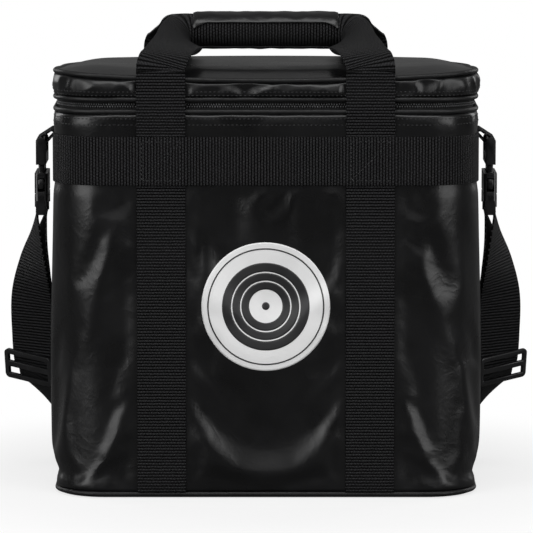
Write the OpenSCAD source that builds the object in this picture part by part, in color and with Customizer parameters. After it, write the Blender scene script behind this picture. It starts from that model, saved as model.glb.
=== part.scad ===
// A soft-sided record carrying case: a padded tub with a zipped, hinged lid, two webbing
// handles joined by a grip wrap, and a clip-on shoulder strap.
// Millimetres, +Z up, front face towards -Y. The origin is the middle of the base, on the floor.

/* [Case] */
// Outside width of the case
case_w = 350; // [300:1:420]
// Outside depth of the case, front to rear
case_d = 225; // [190:1:280]
// Height of the closed zip above the floor
zip_z = 325.5; // [300:0.5:380]
// Height of the lid from the zip to its upper piping
lid_h = 20.5; // [16:0.5:50]
// Radius of the upright corners
corner_r = 42; // [30:1:60]
// Rise of the padded lid above its piping
crown_h = 6; // [1:0.5:14]

/* [Walls] */
// Thickness of the coated outer fabric
cover_t = 1.2; // [0.8:0.1:2]
// Thickness of the foam padding
foam_t = 5; // [3:0.5:10]
// Thickness of the lining
lining_t = 0.8; // [0.5:0.1:1.5]
// Thickness of the stiff board in the floor
board_t = 3; // [2:0.5:5]
// Diameter of the piping in the seams
piping_d = 4.2; // [3:0.2:5]
// Free space between layers that lie on each other
layer_gap = 0.1; // [0.05:0.05:0.3]

/* [Webbing] */
// Width of all the webbing
web_w = 40; // [36:1:44]
// Thickness of all the webbing
web_t = 1.6; // [1:0.1:2.2]
// Height of the upper edge of the band that goes round the case
band_z = 300; // [270:1:310]
// Distance between the middles of the two upright straps on a face
strap_pitch = 172; // [150:1:200]
// Diameter of the printed disc on the front
emblem_d = 106; // [60:1:120]
// Height of the middle of the printed disc
emblem_z = 160; // [130:1:180]

/* [Handles] */
// Height of the fold line of the handles
crease_z = 352; // [350:1:356]
// Height of the middle of the grip
grip_z = 380; // [378:1:392]
// Length of the grip wrap
grip_l = 122; // [90:1:130]
// Radius to which the webbing is curled inside the grip
grip_r = 13; // [12.8:0.1:14]

/* [Shoulder strap] */
// Height at which the strap loops leave the sides
loop_z = 298; // [290:1:300]
// Width of a buckle, front to rear
buckle_w = 48; // [46:1:54]
// Thickness of a buckle
buckle_t = 11; // [10:0.5:13]
// Length of the adjuster frame across the strap
adjuster_w = 50; // [48:1:56]
// Height of the strap where it crosses behind the case
strap_rear_z = 50; // [45:1:70]

/* [Hidden] */
$fn = 64;
piping_r = piping_d / 2;
piping_inset = 1;
tape_t = 0.8;
tape_inset = piping_inset + piping_r + 0.4;
coil_t = 1.5;
coil_h = 1.8;
coil_gap = 0.4;
zip_half = 5;
zip_end_y = case_d / 2 - corner_r;
rim_top = zip_z - zip_half - piping_r - layer_gap;
lid_bottom = zip_z + zip_half + piping_r + layer_gap;
lid_top_z = zip_z + lid_h;
foam_inset = cover_t + layer_gap;
lining_inset = foam_inset + foam_t + layer_gap;
panel_inset = piping_inset + piping_r + layer_gap;
base_z = 1.4;
base_piping_z = 0.6 + piping_r + 0.4;
wall_z = base_piping_z + piping_r + layer_gap;
board_z = base_z + layer_gap;
foam_z = board_z + board_t + layer_gap;
lining_z = foam_z + foam_t + layer_gap;
face_y = case_d / 2;
band_step = web_t + 2 * layer_gap;
hinge_y = face_y + piping_r - piping_inset + layer_gap;
leg_y = face_y + piping_r - piping_inset + 0.5 + web_t / 2;
leg_end_z = crease_z - 0.2;
side_x = case_w / 2 + layer_gap + web_t;
buckle_x = case_w / 2 + 14;
buckle_bar_z = loop_z - 11;
bar_r = 2.6;
housing_z = buckle_bar_z - 62;
strap_bar_z = housing_z + 3.5;
mouth_z = housing_z + 35.8;
yoke_z = mouth_z + 7.4;
yoke_h = 8.8;
tongue_w = 14;
slider_y = zip_end_y - 9;
slider_l = 11;
slider_h = 5;
slider_t = 1.5;
pull_l = 28;
slider_x = case_w / 2 - tape_inset + coil_t + 0.3;

// ---------- plan outlines ----------

// The case's rounded plan, moved in by inset
module plan(inset) {
    w = case_w - 2 * inset;
    d = case_d - 2 * inset;
    r = corner_r - inset;
    square([w - 2 * r, d], center = true);
    square([w, d - 2 * r], center = true);
    for (x = [-1, 1], y = [-1, 1])
        translate([x * (w / 2 - r), y * (d / 2 - r)]) circle(r);
}

// An upright wall that follows the plan
module wall(inset, t, z0, z1) {
    translate([0, 0, z0])
        linear_extrude(z1 - z0)
            difference() {
                plan(inset);
                plan(inset + t);
            }
}

module slab(inset, z0, z1) {
    translate([0, 0, z0]) linear_extrude(z1 - z0) plan(inset);
}

// A round cord that follows the plan
module piping(z) {
    a = case_w / 2 - piping_inset;
    b = case_d / 2 - piping_inset;
    r = corner_r - piping_inset;
    translate([0, 0, z]) {
        for (s = [-1, 1]) {
            translate([r - a, s * b, 0]) rotate([0, 90, 0]) cylinder(r = piping_r, h = 2 * (a - r));
            translate([s * a, r - b, 0]) rotate([-90, 0, 0]) cylinder(r = piping_r, h = 2 * (b - r));
        }
        for (q = [0:3])
            translate([(q == 0 || q == 3 ? 1 : -1) * (a - r), (q < 2 ? 1 : -1) * (b - r), 0])
                rotate([0, 0, 90 * q])
                    rotate_extrude(angle = 90)
                        translate([r, 0]) circle(piping_r);
    }
}

// What lies in front of the hinge, or behind it
module rear_block(y0, y1) {
    translate([-case_w, y0, 0]) cube([2 * case_w, y1 - y0, 2 * zip_z]);
}

module in_front() {
    difference() {
        children();
        rear_block(zip_end_y, case_d);
    }
}

module behind() {
    intersection() {
        children();
        rear_block(zip_end_y + layer_gap, case_d);
    }
}

// ---------- crowned lid panel ----------

crown_rings = 7;
corner_points = 8;
crown_in = corner_r - panel_inset - 3;

// One ring of points on the plan, at an inset and a height
function ring(inset, z) = [
    for (q = [0:3], k = [0:corner_points - 1])
        let (a = 90 * (q + k / (corner_points - 1)), r = corner_r - inset)
        [(q == 0 || q == 3 ? 1 : -1) * (case_w / 2 - corner_r) + r * cos(a),
         (q < 2 ? 1 : -1) * (case_d / 2 - corner_r) + r * sin(a), z]];

module crowned(inset, z_flat, z_edge, rise) {
    n = 4 * corner_points;
    points = concat(ring(inset, z_flat),
        [for (k = [0:crown_rings])
            each ring(inset + crown_in * k / crown_rings, z_edge + rise * sin(90 * k / crown_rings))]);
    sides = [for (k = [0:crown_rings], j = [0:n - 1])
        let (a = k * n + j, b = k * n + (j + 1) % n)
        each [[a, a + n, b], [b, a + n, b + n]]];
    polyhedron(points, concat([[for (j = [0:n - 1]) j]], sides,
        [[for (j = [n - 1:-1:0]) (crown_rings + 1) * n + j]]));
}

// ---------- webbing along a route ----------
// A station is [x, y, z, across x, across y, across z, curl in degrees, offset].

function unit(v) = v / norm(v);
function place(s) = [s[0], s[1], s[2]];
function smooth_at(a, b, c, d, t) = 0.5 * (2 * b + (c - a) * t + (2 * a - 5 * b + 4 * c - d) * t * t
    + (3 * b - a - 3 * c + d) * t * t * t);
function smooth(s, n) = [
    for (i = [0:len(s) - 2], j = [0:n - 1])
        smooth_at(s[max(i - 1, 0)], s[i], s[i + 1], s[min(i + 2, len(s) - 1)], j / n),
    s[len(s) - 1]];
function along(line, i) = unit(place(line[min(i + 1, len(line) - 1)]) - place(line[max(i - 1, 0)]));
function across(s, t) = let (w = [s[3], s[4], s[5]]) unit(w - (w * t) * t);
function mirrored(s) = [-s[0], s[1], s[2], -s[3], s[4], s[5], s[6], s[7]];
function both_halves(s) = concat(s, [for (i = [len(s) - 2:-1:0]) mirrored(s[i])]);

// The outline of the webbing's end at one place, with cells strips across its width
function section(line, i, cells) =
    let (s = line[i], t = along(line, i), w = across(s, t), n = cross(t, w),
        bend = max(s[6], 0.5), r = web_w / (bend * PI / 180))
    [for (side = [-1, 1], k = [0:cells])
        let (a = bend / 2 * side * (1 - 2 * k / cells), rr = r - side * web_t / 2)
        place(s) + w * (-rr * sin(a)) + n * (r - rr * cos(a) + s[7])];

// The webbing follows the first used stations
module webbing(stations, steps, cells, used = 99) {
    line = smooth(stations, steps);
    ends = min(len(line), (used - 1) * steps + 1);
    n = 2 * (cells + 1);
    last = (ends - 1) * n;
    points = [for (i = [0:ends - 1]) each section(line, i, cells)];
    polyhedron(points, concat(
        [for (j = [1:n - 2]) [0, j + 1, j]],
        [for (j = [1:n - 2]) [last, last + j, last + j + 1]],
        [for (i = [0:ends - 2], j = [0:n - 1])
            let (a = i * n + j, b = i * n + (j + 1) % n)
            each [[a, b + n, a + n], [a, b, b + n]]]));
}

// ---------- case body ----------

module bottom_panel() color("dimgray") slab(panel_inset, 0, base_z);
module base_piping() color("black") piping(base_piping_z);
module base_board() color("gray") slab(panel_inset + 0.5, board_z, board_z + board_t);
module body_cover() color([0.07, 0.07, 0.08]) wall(0, cover_t, wall_z, rim_top);

module body_foam() color("silver") {
    wall(foam_inset, foam_t, wall_z, rim_top);
    slab(panel_inset + 0.5, foam_z, foam_z + foam_t);
}

module body_lining() color("gray") {
    wall(lining_inset, lining_t, lining_z, rim_top);
    slab(lining_inset, lining_z, lining_z + lining_t);
}

module rim_piping() color("black") piping(zip_z - zip_half);

module zip_tape_lower() color("black")
    in_front() wall(tape_inset, tape_t, rim_top + layer_gap, zip_z - 0.3);

module zip_coil_lower() color("dimgray")
    in_front() wall(tape_inset - coil_t - layer_gap, coil_t, zip_z - coil_gap / 2 - coil_h,
        zip_z - coil_gap / 2);

module hinge_strip_lower() color("black")
    behind() wall(tape_inset, tape_t, rim_top + layer_gap, zip_z - 0.3);

// The band hugs the cover and steps out over the upright straps
module body_band() color([0.1, 0.1, 0.11]) difference() {
    union() {
        wall(-layer_gap - web_t, web_t, band_z - web_w, band_z);
        for (x = [-1, 1], y = [-1, 1])
            translate([x * strap_pitch / 2 - web_w / 2 - 3,
                y > 0 ? face_y + layer_gap : -face_y - band_step - web_t - layer_gap, band_z - web_w])
                cube([web_w + 6, band_step + web_t, web_w]);
    }
    for (x = [-1, 1])
        translate([x * strap_pitch / 2 - web_w / 2 - 0.5, -face_y - band_step - layer_gap, 0])
            cube([web_w + 1, case_d + 2 * (band_step + layer_gap), case_d * 2]);
}

// An upright strap on the face at side y, from the base seam to under the band
module upright(x, y) color([0.1, 0.1, 0.11])
    translate([x * strap_pitch / 2 - web_w / 2,
        y > 0 ? face_y + layer_gap : -face_y - layer_gap - web_t, wall_z])
        cube([web_w, web_t, band_z - wall_z - 0.3]);

module front_webbing_left() upright(-1, -1);
module front_webbing_right() upright(1, -1);
module rear_webbing_left() upright(-1, 1);
module rear_webbing_right() upright(1, 1);

emblem_t = 0.5;
ring_t = 0.3;

module emblem_disc() color("white")
    translate([0, -face_y - 0.02, emblem_z]) rotate([90, 0, 0]) cylinder(d = emblem_d, h = emblem_t);

// A plain record: a border line, a grooved disc and its centre label
module emblem_rings() color("black")
    translate([0, -face_y - emblem_t - 0.04, emblem_z]) rotate([90, 0, 0]) {
        annulus(emblem_d / 2 - 4.8, emblem_d / 2 - 5.9);
        annulus(emblem_d * 0.34, emblem_d * 0.27);
        annulus(emblem_d * 0.26, emblem_d * 0.20);
        annulus(emblem_d * 0.19, emblem_d * 0.13);
        cylinder(d = emblem_d * 0.03, h = ring_t);
    }

module annulus(outer, inner) difference() {
    cylinder(r = outer, h = ring_t);
    translate([0, 0, -1]) cylinder(r = inner, h = ring_t + 2);
}

// ---------- lid ----------

panel_z = lid_top_z - 0.6;
lid_lining_z = panel_z - layer_gap - foam_t - layer_gap - lining_t;

module lid_panel() color([0.07, 0.07, 0.08]) difference() {
    crowned(panel_inset, panel_z, panel_z + cover_t, crown_h);
    crowned(panel_inset + cover_t, panel_z - 1, panel_z + 0.05, crown_h);
}

module lid_foam() color("silver") {
    crowned(panel_inset + cover_t + 0.2, panel_z - foam_t - layer_gap, panel_z - layer_gap, crown_h);
    wall(foam_inset, foam_t, lid_bottom, lid_top_z - piping_r - layer_gap);
}

module lid_lining() color("gray") {
    wall(lining_inset, lining_t, lid_bottom, lid_lining_z + lining_t);
    slab(lining_inset, lid_lining_z, lid_lining_z + lining_t);
}

module lid_skirt() color([0.07, 0.07, 0.08])
    wall(0, cover_t, lid_bottom, lid_top_z - piping_r - layer_gap);

module lid_piping() color("black") piping(lid_top_z);
module lid_edge_piping() color("black") piping(zip_z + zip_half);

module zip_tape_upper() color("black")
    in_front() wall(tape_inset, tape_t, zip_z + 0.3, lid_bottom - layer_gap);

module zip_coil_upper() color("dimgray")
    in_front() wall(tape_inset - coil_t - layer_gap, coil_t, zip_z + coil_gap / 2,
        zip_z + coil_gap / 2 + coil_h);

module hinge_strip_upper() color("black")
    behind() wall(tape_inset, tape_t, zip_z + 0.3, lid_bottom - layer_gap);

// ---------- handles ----------

leg_x = strap_pitch / 2;
leg_route = [
    [-leg_x, -face_y - layer_gap - web_t / 2, band_z, 1, 0, 0, 0, 0],
    [-leg_x, -face_y - layer_gap - web_t / 2 - 0.3, band_z + 6, 1, 0, 0, 0, 0],
    [-leg_x, -leg_y, band_z + 15, 1, 0, 0, 0, 0],
    [-leg_x, -leg_y, crease_z - 20, 1, 0, 0, 0, 0],
    [-leg_x, -leg_y, leg_end_z, 1, 0, 0, 0, 0]];
grip_y = grip_r + 1;
grip_end = grip_l / 2 + 1;
loop_route = [
    [-leg_x, -leg_y, crease_z + 0.4, 1, 0, 0, 0, 0],
    [-leg_x, 0.3 - leg_y, crease_z + 3, 1, 0, 0, 0, 0],
    [-leg_x, 2 - leg_y, crease_z + 8, 1, 0, 0, 0, 0],
    [-leg_x + 2.5, 8 - leg_y, crease_z + 16, 1, 0, 0, 0, 0],
    [-leg_x + 5, 25 - leg_y, crease_z + 20, 1, 0, 0, 0, 0],
    [-leg_x + 8, 53 - leg_y, crease_z + 23, 0.97, -0.1, -0.15, 0, 0],
    [-grip_end - 12, -grip_y - 24, grip_z - 2.5, 0.85, -0.2, -0.45, 25, 0],
    [-grip_end - 5.5, -grip_y - 6, grip_z - 0.5, 0.4, -0.2, -0.9, 110, 0],
    [-grip_end, -grip_y - 0.3, grip_z, 0, 0, -1, 176, 0],
    [-grip_end + 15, -grip_y, grip_z, 0, 0, -1, 176, 0],
    [0, -grip_y, grip_z, 0, 0, -1, 176, 0]];

module leg(x) color([0.1, 0.1, 0.11])
    webbing(x < 0 ? leg_route : [for (s = leg_route) [-s[0], s[1], s[2], 1, 0, 0, 0, 0]], 3, 1);
module loop() color([0.1, 0.1, 0.11]) webbing(both_halves(loop_route), 3, 6);

module front_handle_leg_left() leg(-1);
module front_handle_leg_right() leg(1);
module front_handle_loop() loop();
module rear_handle_leg_left() mirror([0, 1, 0]) leg(-1);
module rear_handle_leg_right() mirror([0, 1, 0]) leg(1);
module rear_handle_loop() mirror([0, 1, 0]) loop();

// The wrap is open towards the front handle, which it holds
module grip_wrap() color([0.07, 0.07, 0.08])
    translate([-grip_l / 2, 1, grip_z])
        rotate([90, 0, 90])
            linear_extrude(grip_l)
                difference() {
                    circle(grip_r + web_t / 2 + 0.2 + cover_t * 1.3);
                    circle(grip_r + web_t / 2 + 0.2);
                    translate([-2 * grip_r - 1.2, -2 * grip_r]) square([2 * grip_r, 4 * grip_r]);
                }

// ---------- zip slider ----------

module zip_slider() color("dimgray") {
    translate([slider_x, slider_y, zip_z])
        rotate([90, 0, 90])
            linear_extrude(slider_t) rounded(slider_l, slider_h, 1.2);
    translate([slider_x + slider_t, slider_y, zip_z - 0.8]) bail();
}

// The bridge that the pull turns on
module bail() difference() {
    translate([-0.2, -2.6, 0]) cube([3, 5.2, 1.6]);
    translate([-1, -1.4, -1]) cube([2.8, 2.8, 4]);
}

// A flat pull whose slot takes the bridge, with an eye at its free end
module zip_pull() color("gray")
    translate([slider_x + slider_t + 0.3, slider_y, zip_z])
        rotate([90, 0, 90])
            linear_extrude(1.2)
                difference() {
                    translate([0.6 - pull_l / 2, 0]) rounded(pull_l, slider_h, 0.55);
                    translate([-3.6, -1.2]) square([2.9, 2.4]);
                    translate([4.5 - pull_l, 0]) circle(1.3);
                }

// ---------- shoulder strap ----------

// Height of the strap at its sides, above the crossing behind the case
strap_route = [
    [-buckle_x, 0, strap_bar_z, 0, 1, 0, 0, 4],
    [-buckle_x - 3, 1, strap_bar_z - 22, -0.25, 0.97, 0, 0, 2.4],
    [-buckle_x - 7, 3, strap_bar_z - 47, -0.6, 0.8, 0, 0, 1.7],
    [-buckle_x - 9.5, 6, strap_bar_z - 77, -0.85, 0.5, 0, 0, 1.4],
    [-buckle_x - 9, 9, strap_rear_z + 70, -0.88, 0.45, 0.12, 0, 1.4],
    [-buckle_x - 8, 15, strap_rear_z + 36, -0.77, 0.46, 0.43, 0, 1.6],
    [-buckle_x - 5, 36, strap_rear_z + 16, -0.75, 0.15, 0.65, 0, 1.2],
    [-buckle_x + 3, face_y - 36, strap_rear_z + 6, -0.4, 0.1, 0.9, 0, 1],
    [-buckle_x + 24, face_y + 3, strap_rear_z + 3, -0.1, 0, 1, 0, 0.5],
    [-buckle_x + 60, face_y + 9, strap_rear_z + 1, 0, 0, 1, 0, 0],
    [-buckle_x + 120, face_y + 5, strap_rear_z, 0, 0, 1, 0, 0],
    [0, face_y + 4, strap_rear_z, 0, 0, 1, 0, 0]];
return_route = [for (s = strap_route) [for (k = [0:7]) k == 7 ? -s[k] : s[k]]];
doubled = 6;

module shoulder_strap() color([0.1, 0.1, 0.11]) webbing(both_halves(strap_route), 4, 1);

// The doubled end: round the socket's bar and down to the adjuster
module strap_return() color([0.12, 0.12, 0.13]) {
    webbing(return_route, 4, 1, doubled);
    translate([-buckle_x, web_w / 2, strap_bar_z + 0.4])
        rotate([90, 0, 0])
            rotate_extrude_half(4 + web_t / 2, 4 - web_t / 2, web_w);
}

module rotate_extrude_half(outer, inner, length) linear_extrude(length) difference() {
    circle(outer);
    circle(inner);
    translate([-2 * outer, -2 * outer]) square([4 * outer, 2 * outer]);
}

module strap_return_left() strap_return();
module strap_return_right() mirror([1, 0, 0]) strap_return();

// A closed loop of webbing from the side seam round the plug's bar
module strap_loop() color([0.1, 0.1, 0.11])
    translate([0, web_w / 2, 0])
        rotate([90, 0, 0])
            linear_extrude(web_w)
                difference() {
                    teardrop(web_t);
                    teardrop(0);
                }

module teardrop(t) hull() {
    translate([-buckle_x, buckle_bar_z]) circle(bar_r + 0.3 + t, $fn = 32);
    translate([-side_x - 3.4, loop_z - 3.5]) circle(1.4 + t, $fn = 32);
}

module strap_loop_left() strap_loop();
module strap_loop_right() mirror([1, 0, 0]) strap_loop();

// The slotted frame that sets the strap's length, lying on the doubled strap
adjuster_t = 3.2;
module adjuster() color([0.05, 0.05, 0.06]) {
    line = smooth(return_route, 4);
    i = 4 * (doubled - 1) - 1;
    t = along(line, i);
    w = across(line[i], t);
    n = cross(t, w);
    c = place(line[i]) + n * (line[i][7] - web_t / 2 - 0.3 - adjuster_t);
    multmatrix([[w[0], t[0], -n[0], c[0]], [w[1], t[1], -n[1], c[1]], [w[2], t[2], -n[2], c[2]]])
        mirror([0, 0, 1]) translate([0, 0, -adjuster_t]) difference() {
            linear_extrude(adjuster_t) rounded(adjuster_w, 26, 4);
            for (s = [-1, 1])
                translate([-web_w / 2 - 1, s * 5.6 - 3.2, -1]) cube([web_w + 2, 6.4, adjuster_t + 2]);
        }
}

module rounded(w, d, r) {
    square([w - 2 * r, d], center = true);
    square([w, d - 2 * r], center = true);
    for (x = [-1, 1], y = [-1, 1]) translate([x * (w / 2 - r), y * (d / 2 - r)]) circle(r);
}

module adjuster_left() adjuster();
module adjuster_right() mirror([1, 0, 0]) adjuster();

// ---------- side-release buckle ----------

cheek_w = (buckle_w - web_w) / 2 - 0.5;

// A bar across the buckle, from cheek to cheek
module bar(z, r) translate([-buckle_x, -buckle_w / 2 + 1, z])
    rotate([-90, 0, 0]) cylinder(r = r, h = buckle_w - 2);

// The half that hangs from the case: bar, cheeks, yoke and guide tongue
module buckle_plug() color([0.05, 0.05, 0.06]) {
    bar(buckle_bar_z, bar_r);
    for (s = [-1, 1])
        translate([-buckle_x - 4.2, s > 0 ? buckle_w / 2 - cheek_w : -buckle_w / 2, yoke_z])
            cube([8.4, cheek_w, buckle_bar_z - yoke_z]);
    for (s = [-1, 1])
        translate([-buckle_x, s > 0 ? buckle_w / 2 - cheek_w : -buckle_w / 2, buckle_bar_z])
            rotate([-90, 0, 0]) cylinder(r = 4.2, h = cheek_w);
    translate([-buckle_x - 4.2, -buckle_w / 2, yoke_z]) cube([8.4, buckle_w, yoke_h]);
    translate([-buckle_x - 2.2, -tongue_w / 2, mouth_z - 20]) cube([4.4, tongue_w, yoke_z - mouth_z + 20.5]);
}

// A springy side arm with the pad that is squeezed to open the buckle
module prong(s) color([0.05, 0.05, 0.06])
    translate([-buckle_x - 2.5, 0, 0])
        mirror([0, s < 0 ? 1 : 0, 0])
            rotate([90, 0, 90])
                linear_extrude(5)
                    translate([0, mouth_z])
                        polygon([[11, yoke_z - mouth_z - 0.3], [15.5, yoke_z - mouth_z - 0.3], [15.5, 0],
                            [19.4, -4.4], [22.6, -4.4], [23.7, -6], [23.7, -11.4], [22.8, -13.5],
                            [19.4, -13.5], [17.5, -19.5], [14.5, -20], [11, -14]]);

// The half on the strap: a flat box with side windows and a slotted end
module buckle_socket() color([0.05, 0.05, 0.06]) difference() {
    union() {
        translate([-buckle_x, 0, housing_z + 7.5])
            linear_extrude(mouth_z - housing_z - 7.5) rounded(buckle_t, buckle_w, 3);
        bar(strap_bar_z, 2.9);
        for (s = [-1, 1])
            translate([-buckle_x - buckle_t / 2 + 1, s > 0 ? buckle_w / 2 - cheek_w : -buckle_w / 2,
                strap_bar_z - 2.9])
                cube([buckle_t - 2, cheek_w, 12]);
    }
    translate([-buckle_x - 3.2, -20.2, mouth_z - 22.5]) cube([6.4, 40.4, 30]);
    translate([-buckle_x - 3.2, -buckle_w, mouth_z - 15.5]) cube([6.4, 2 * buckle_w, 11.5]);
    translate([-buckle_x - buckle_t, -web_w / 2 - 0.4, housing_z + 6.5])
        cube([2 * buckle_t, web_w + 0.8, 4.6]);
    translate([-buckle_x + buckle_t / 2 - 0.7, -buckle_w, mouth_z - 18]) cube([2, 2 * buckle_w, 1.2]);
    translate([-buckle_x - buckle_t / 2 - 1.3, -buckle_w, mouth_z - 18]) cube([2, 2 * buckle_w, 1.2]);
}

module buckle_socket_left() buckle_socket();
module buckle_socket_right() mirror([1, 0, 0]) buckle_socket();
module buckle_plug_left() buckle_plug();
module buckle_plug_right() mirror([1, 0, 0]) buckle_plug();
module prong_left_front() prong(-1);
module prong_left_rear() prong(1);
module prong_right_front() mirror([1, 0, 0]) prong(-1);
module prong_right_rear() mirror([1, 0, 0]) prong(1);

bottom_panel();
base_piping();
base_board();
body_cover();
body_foam();
body_lining();
rim_piping();
zip_tape_lower();
zip_coil_lower();
hinge_strip_lower();
body_band();
front_webbing_left();
front_webbing_right();
rear_webbing_left();
rear_webbing_right();
emblem_disc();
emblem_rings();
lid_panel();
lid_foam();
lid_lining();
lid_skirt();
lid_piping();
lid_edge_piping();
zip_tape_upper();
zip_coil_upper();
hinge_strip_upper();
front_handle_leg_left();
front_handle_leg_right();
front_handle_loop();
rear_handle_leg_left();
rear_handle_leg_right();
rear_handle_loop();
grip_wrap();
zip_slider();
zip_pull();
shoulder_strap();
strap_return_left();
strap_return_right();
strap_loop_left();
strap_loop_right();
adjuster_left();
adjuster_right();
buckle_socket_left();
buckle_socket_right();
buckle_plug_left();
buckle_plug_right();
prong_left_front();
prong_left_rear();
prong_right_front();
prong_right_rear();
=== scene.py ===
"""The looks of a soft-sided record carrying case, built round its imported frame."""

from __future__ import annotations

import logging
import math
from dataclasses import dataclass, field
from enum import Enum
from typing import Callable, Iterable, Sequence

import bmesh
import bpy
from mathutils import Matrix, Vector, noise
from mathutils.bvhtree import BVHTree


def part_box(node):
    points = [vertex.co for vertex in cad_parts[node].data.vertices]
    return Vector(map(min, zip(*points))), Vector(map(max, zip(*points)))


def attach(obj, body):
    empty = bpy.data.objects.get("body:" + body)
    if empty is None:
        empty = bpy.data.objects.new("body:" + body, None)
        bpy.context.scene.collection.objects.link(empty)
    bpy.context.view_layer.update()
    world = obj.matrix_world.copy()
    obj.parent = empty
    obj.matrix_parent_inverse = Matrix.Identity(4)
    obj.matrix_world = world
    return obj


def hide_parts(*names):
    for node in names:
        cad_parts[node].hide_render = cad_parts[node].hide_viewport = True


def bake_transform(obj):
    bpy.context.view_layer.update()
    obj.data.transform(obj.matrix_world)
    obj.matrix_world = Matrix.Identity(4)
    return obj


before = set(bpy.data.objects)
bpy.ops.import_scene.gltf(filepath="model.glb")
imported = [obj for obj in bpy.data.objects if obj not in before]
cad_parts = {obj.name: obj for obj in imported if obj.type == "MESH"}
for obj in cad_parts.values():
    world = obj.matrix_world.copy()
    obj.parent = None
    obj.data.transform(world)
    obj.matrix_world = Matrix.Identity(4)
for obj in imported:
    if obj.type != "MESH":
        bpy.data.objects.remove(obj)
LOG = logging.getLogger("record_case")

POINT_GAP = 0.00001
NODE_POINT_GAP = 0.00002


class Side(Enum):
    """A side of the case, whose value is its direction along X or Y."""

    @property
    def word(self) -> str:
        """Its word in the names of nodes and pieces."""
        return self.name.lower()


class Face(Side):
    """The front or the rear, along Y."""

    FRONT = -1.0
    REAR = 1.0


class Hand(Side):
    """The left or the right, along X."""

    LEFT = -1.0
    RIGHT = 1.0


def ease(value: float) -> float:
    """Go smoothly from 0 to 1 as a value does, and stay there beyond."""
    share = max(0.0, min(1.0, value))
    return share * share * (3 - 2 * share)


# ---------- shader node helpers ----------


class Shader:
    """A small wrapper that lays out and joins the nodes of one tree."""

    def __init__(self, tree: bpy.types.NodeTree) -> None:
        """Keep the tree that the nodes go into."""
        self.tree = tree

    def add(self, kind: str, **settings: object) -> bpy.types.Node:
        """Add one node.

        Args:
            kind: the node's type name.
            **settings: properties of the node.

        Returns:
            The new node.
        """
        node = self.tree.nodes.new(kind)
        for name, value in settings.items():
            setattr(node, name, value)
        return node

    def join(self, source: bpy.types.NodeSocket, target: bpy.types.NodeSocket) -> None:
        """Link an output to an input."""
        self.tree.links.new(source, target)

    def maths(self, operation: str, *values: object, clamp: bool = False) -> bpy.types.NodeSocket:
        """Add a Math node.

        Args:
            operation: the operation's name.
            *values: sockets or numbers, one for each input.
            clamp: keep the result within 0 and 1.

        Returns:
            The node's output.
        """
        node = self.add("ShaderNodeMath", operation=operation, use_clamp=clamp)
        self._feed(node, values)
        return node.outputs[0]

    def vector(self, operation: str, *values: object) -> bpy.types.NodeSocket:
        """Add a Vector Math node.

        Args:
            operation: the operation's name.
            *values: sockets or numbers, one for each input.

        Returns:
            The node's vector output.
        """
        node = self.add("ShaderNodeVectorMath", operation=operation)
        self._feed(node, values)
        return node.outputs[0]

    def ramp(self, value: bpy.types.NodeSocket, low: float, high: float,
             to_low: float = 0.0, to_high: float = 1.0) -> bpy.types.NodeSocket:
        """Map a value between two limits, smoothly.

        Args:
            value: the socket to map.
            low: where the mapping starts.
            high: where it ends.
            to_low: result at the start.
            to_high: result at the end.

        Returns:
            The node's output.
        """
        node = self.add("ShaderNodeMapRange", interpolation_type="SMOOTHSTEP")
        self.join(value, node.inputs["Value"])
        self._set(node, {"From Min": low, "From Max": high, "To Min": to_low, "To Max": to_high})
        return node.outputs["Result"]

    def noise(self, place: bpy.types.NodeSocket, scale: float, detail: float = 2.0,
              roughness: float = 0.5, distortion: float = 0.0) -> bpy.types.NodeSocket:
        """Add a Noise texture.

        Args:
            place: the coordinates that it reads.
            scale: cells to a metre.
            detail: its octaves.
            roughness: how strong the finer octaves are.
            distortion: how far its cells are bent.

        Returns:
            The texture's factor.
        """
        node = self.add("ShaderNodeTexNoise")
        self.join(place, node.inputs["Vector"])
        self._set(node, {"Scale": scale, "Detail": detail, "Roughness": roughness, "Distortion": distortion})
        return node.outputs["Fac"]

    def tint(self, factor: bpy.types.NodeSocket, low: Sequence[float],
             high: Sequence[float]) -> bpy.types.NodeSocket:
        """Mix two colours.

        Args:
            factor: the socket that mixes them.
            low: the colour at 0.
            high: the colour at 1.

        Returns:
            The mixed colour.
        """
        node = self.add("ShaderNodeMix", data_type="RGBA")
        self.join(factor, node.inputs["Factor"])
        self._set(node, {"A": (*low, 1.0), "B": (*high, 1.0)})
        return node.outputs["Result"]

    def choose(self, factor: bpy.types.NodeSocket, first: bpy.types.Node, second: bpy.types.Node,
               target: bpy.types.Node) -> None:
        """Mix two shaders into an output node.

        Args:
            factor: 0 for the first, 1 for the second.
            first: one shader.
            second: the other.
            target: the output node.
        """
        mix = self.add("ShaderNodeMixShader")
        self._feed(mix, (factor, first.outputs[0], second.outputs[0]))
        self.join(mix.outputs[0], target.inputs["Surface"])

    def _set(self, node: bpy.types.Node, values: dict[str, object]) -> None:
        """Set a node's inputs by name."""
        for name, value in values.items():
            node.inputs[name].default_value = value

    def _feed(self, node: bpy.types.Node, values: Iterable[object]) -> None:
        """Link or set a node's inputs in order.

        Args:
            node: the node.
            values: a socket or a number for each input.
        """
        for socket, value in zip(node.inputs, values):
            if isinstance(value, bpy.types.NodeSocket):
                self.join(value, socket)
            else:
                socket.default_value = value


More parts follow.
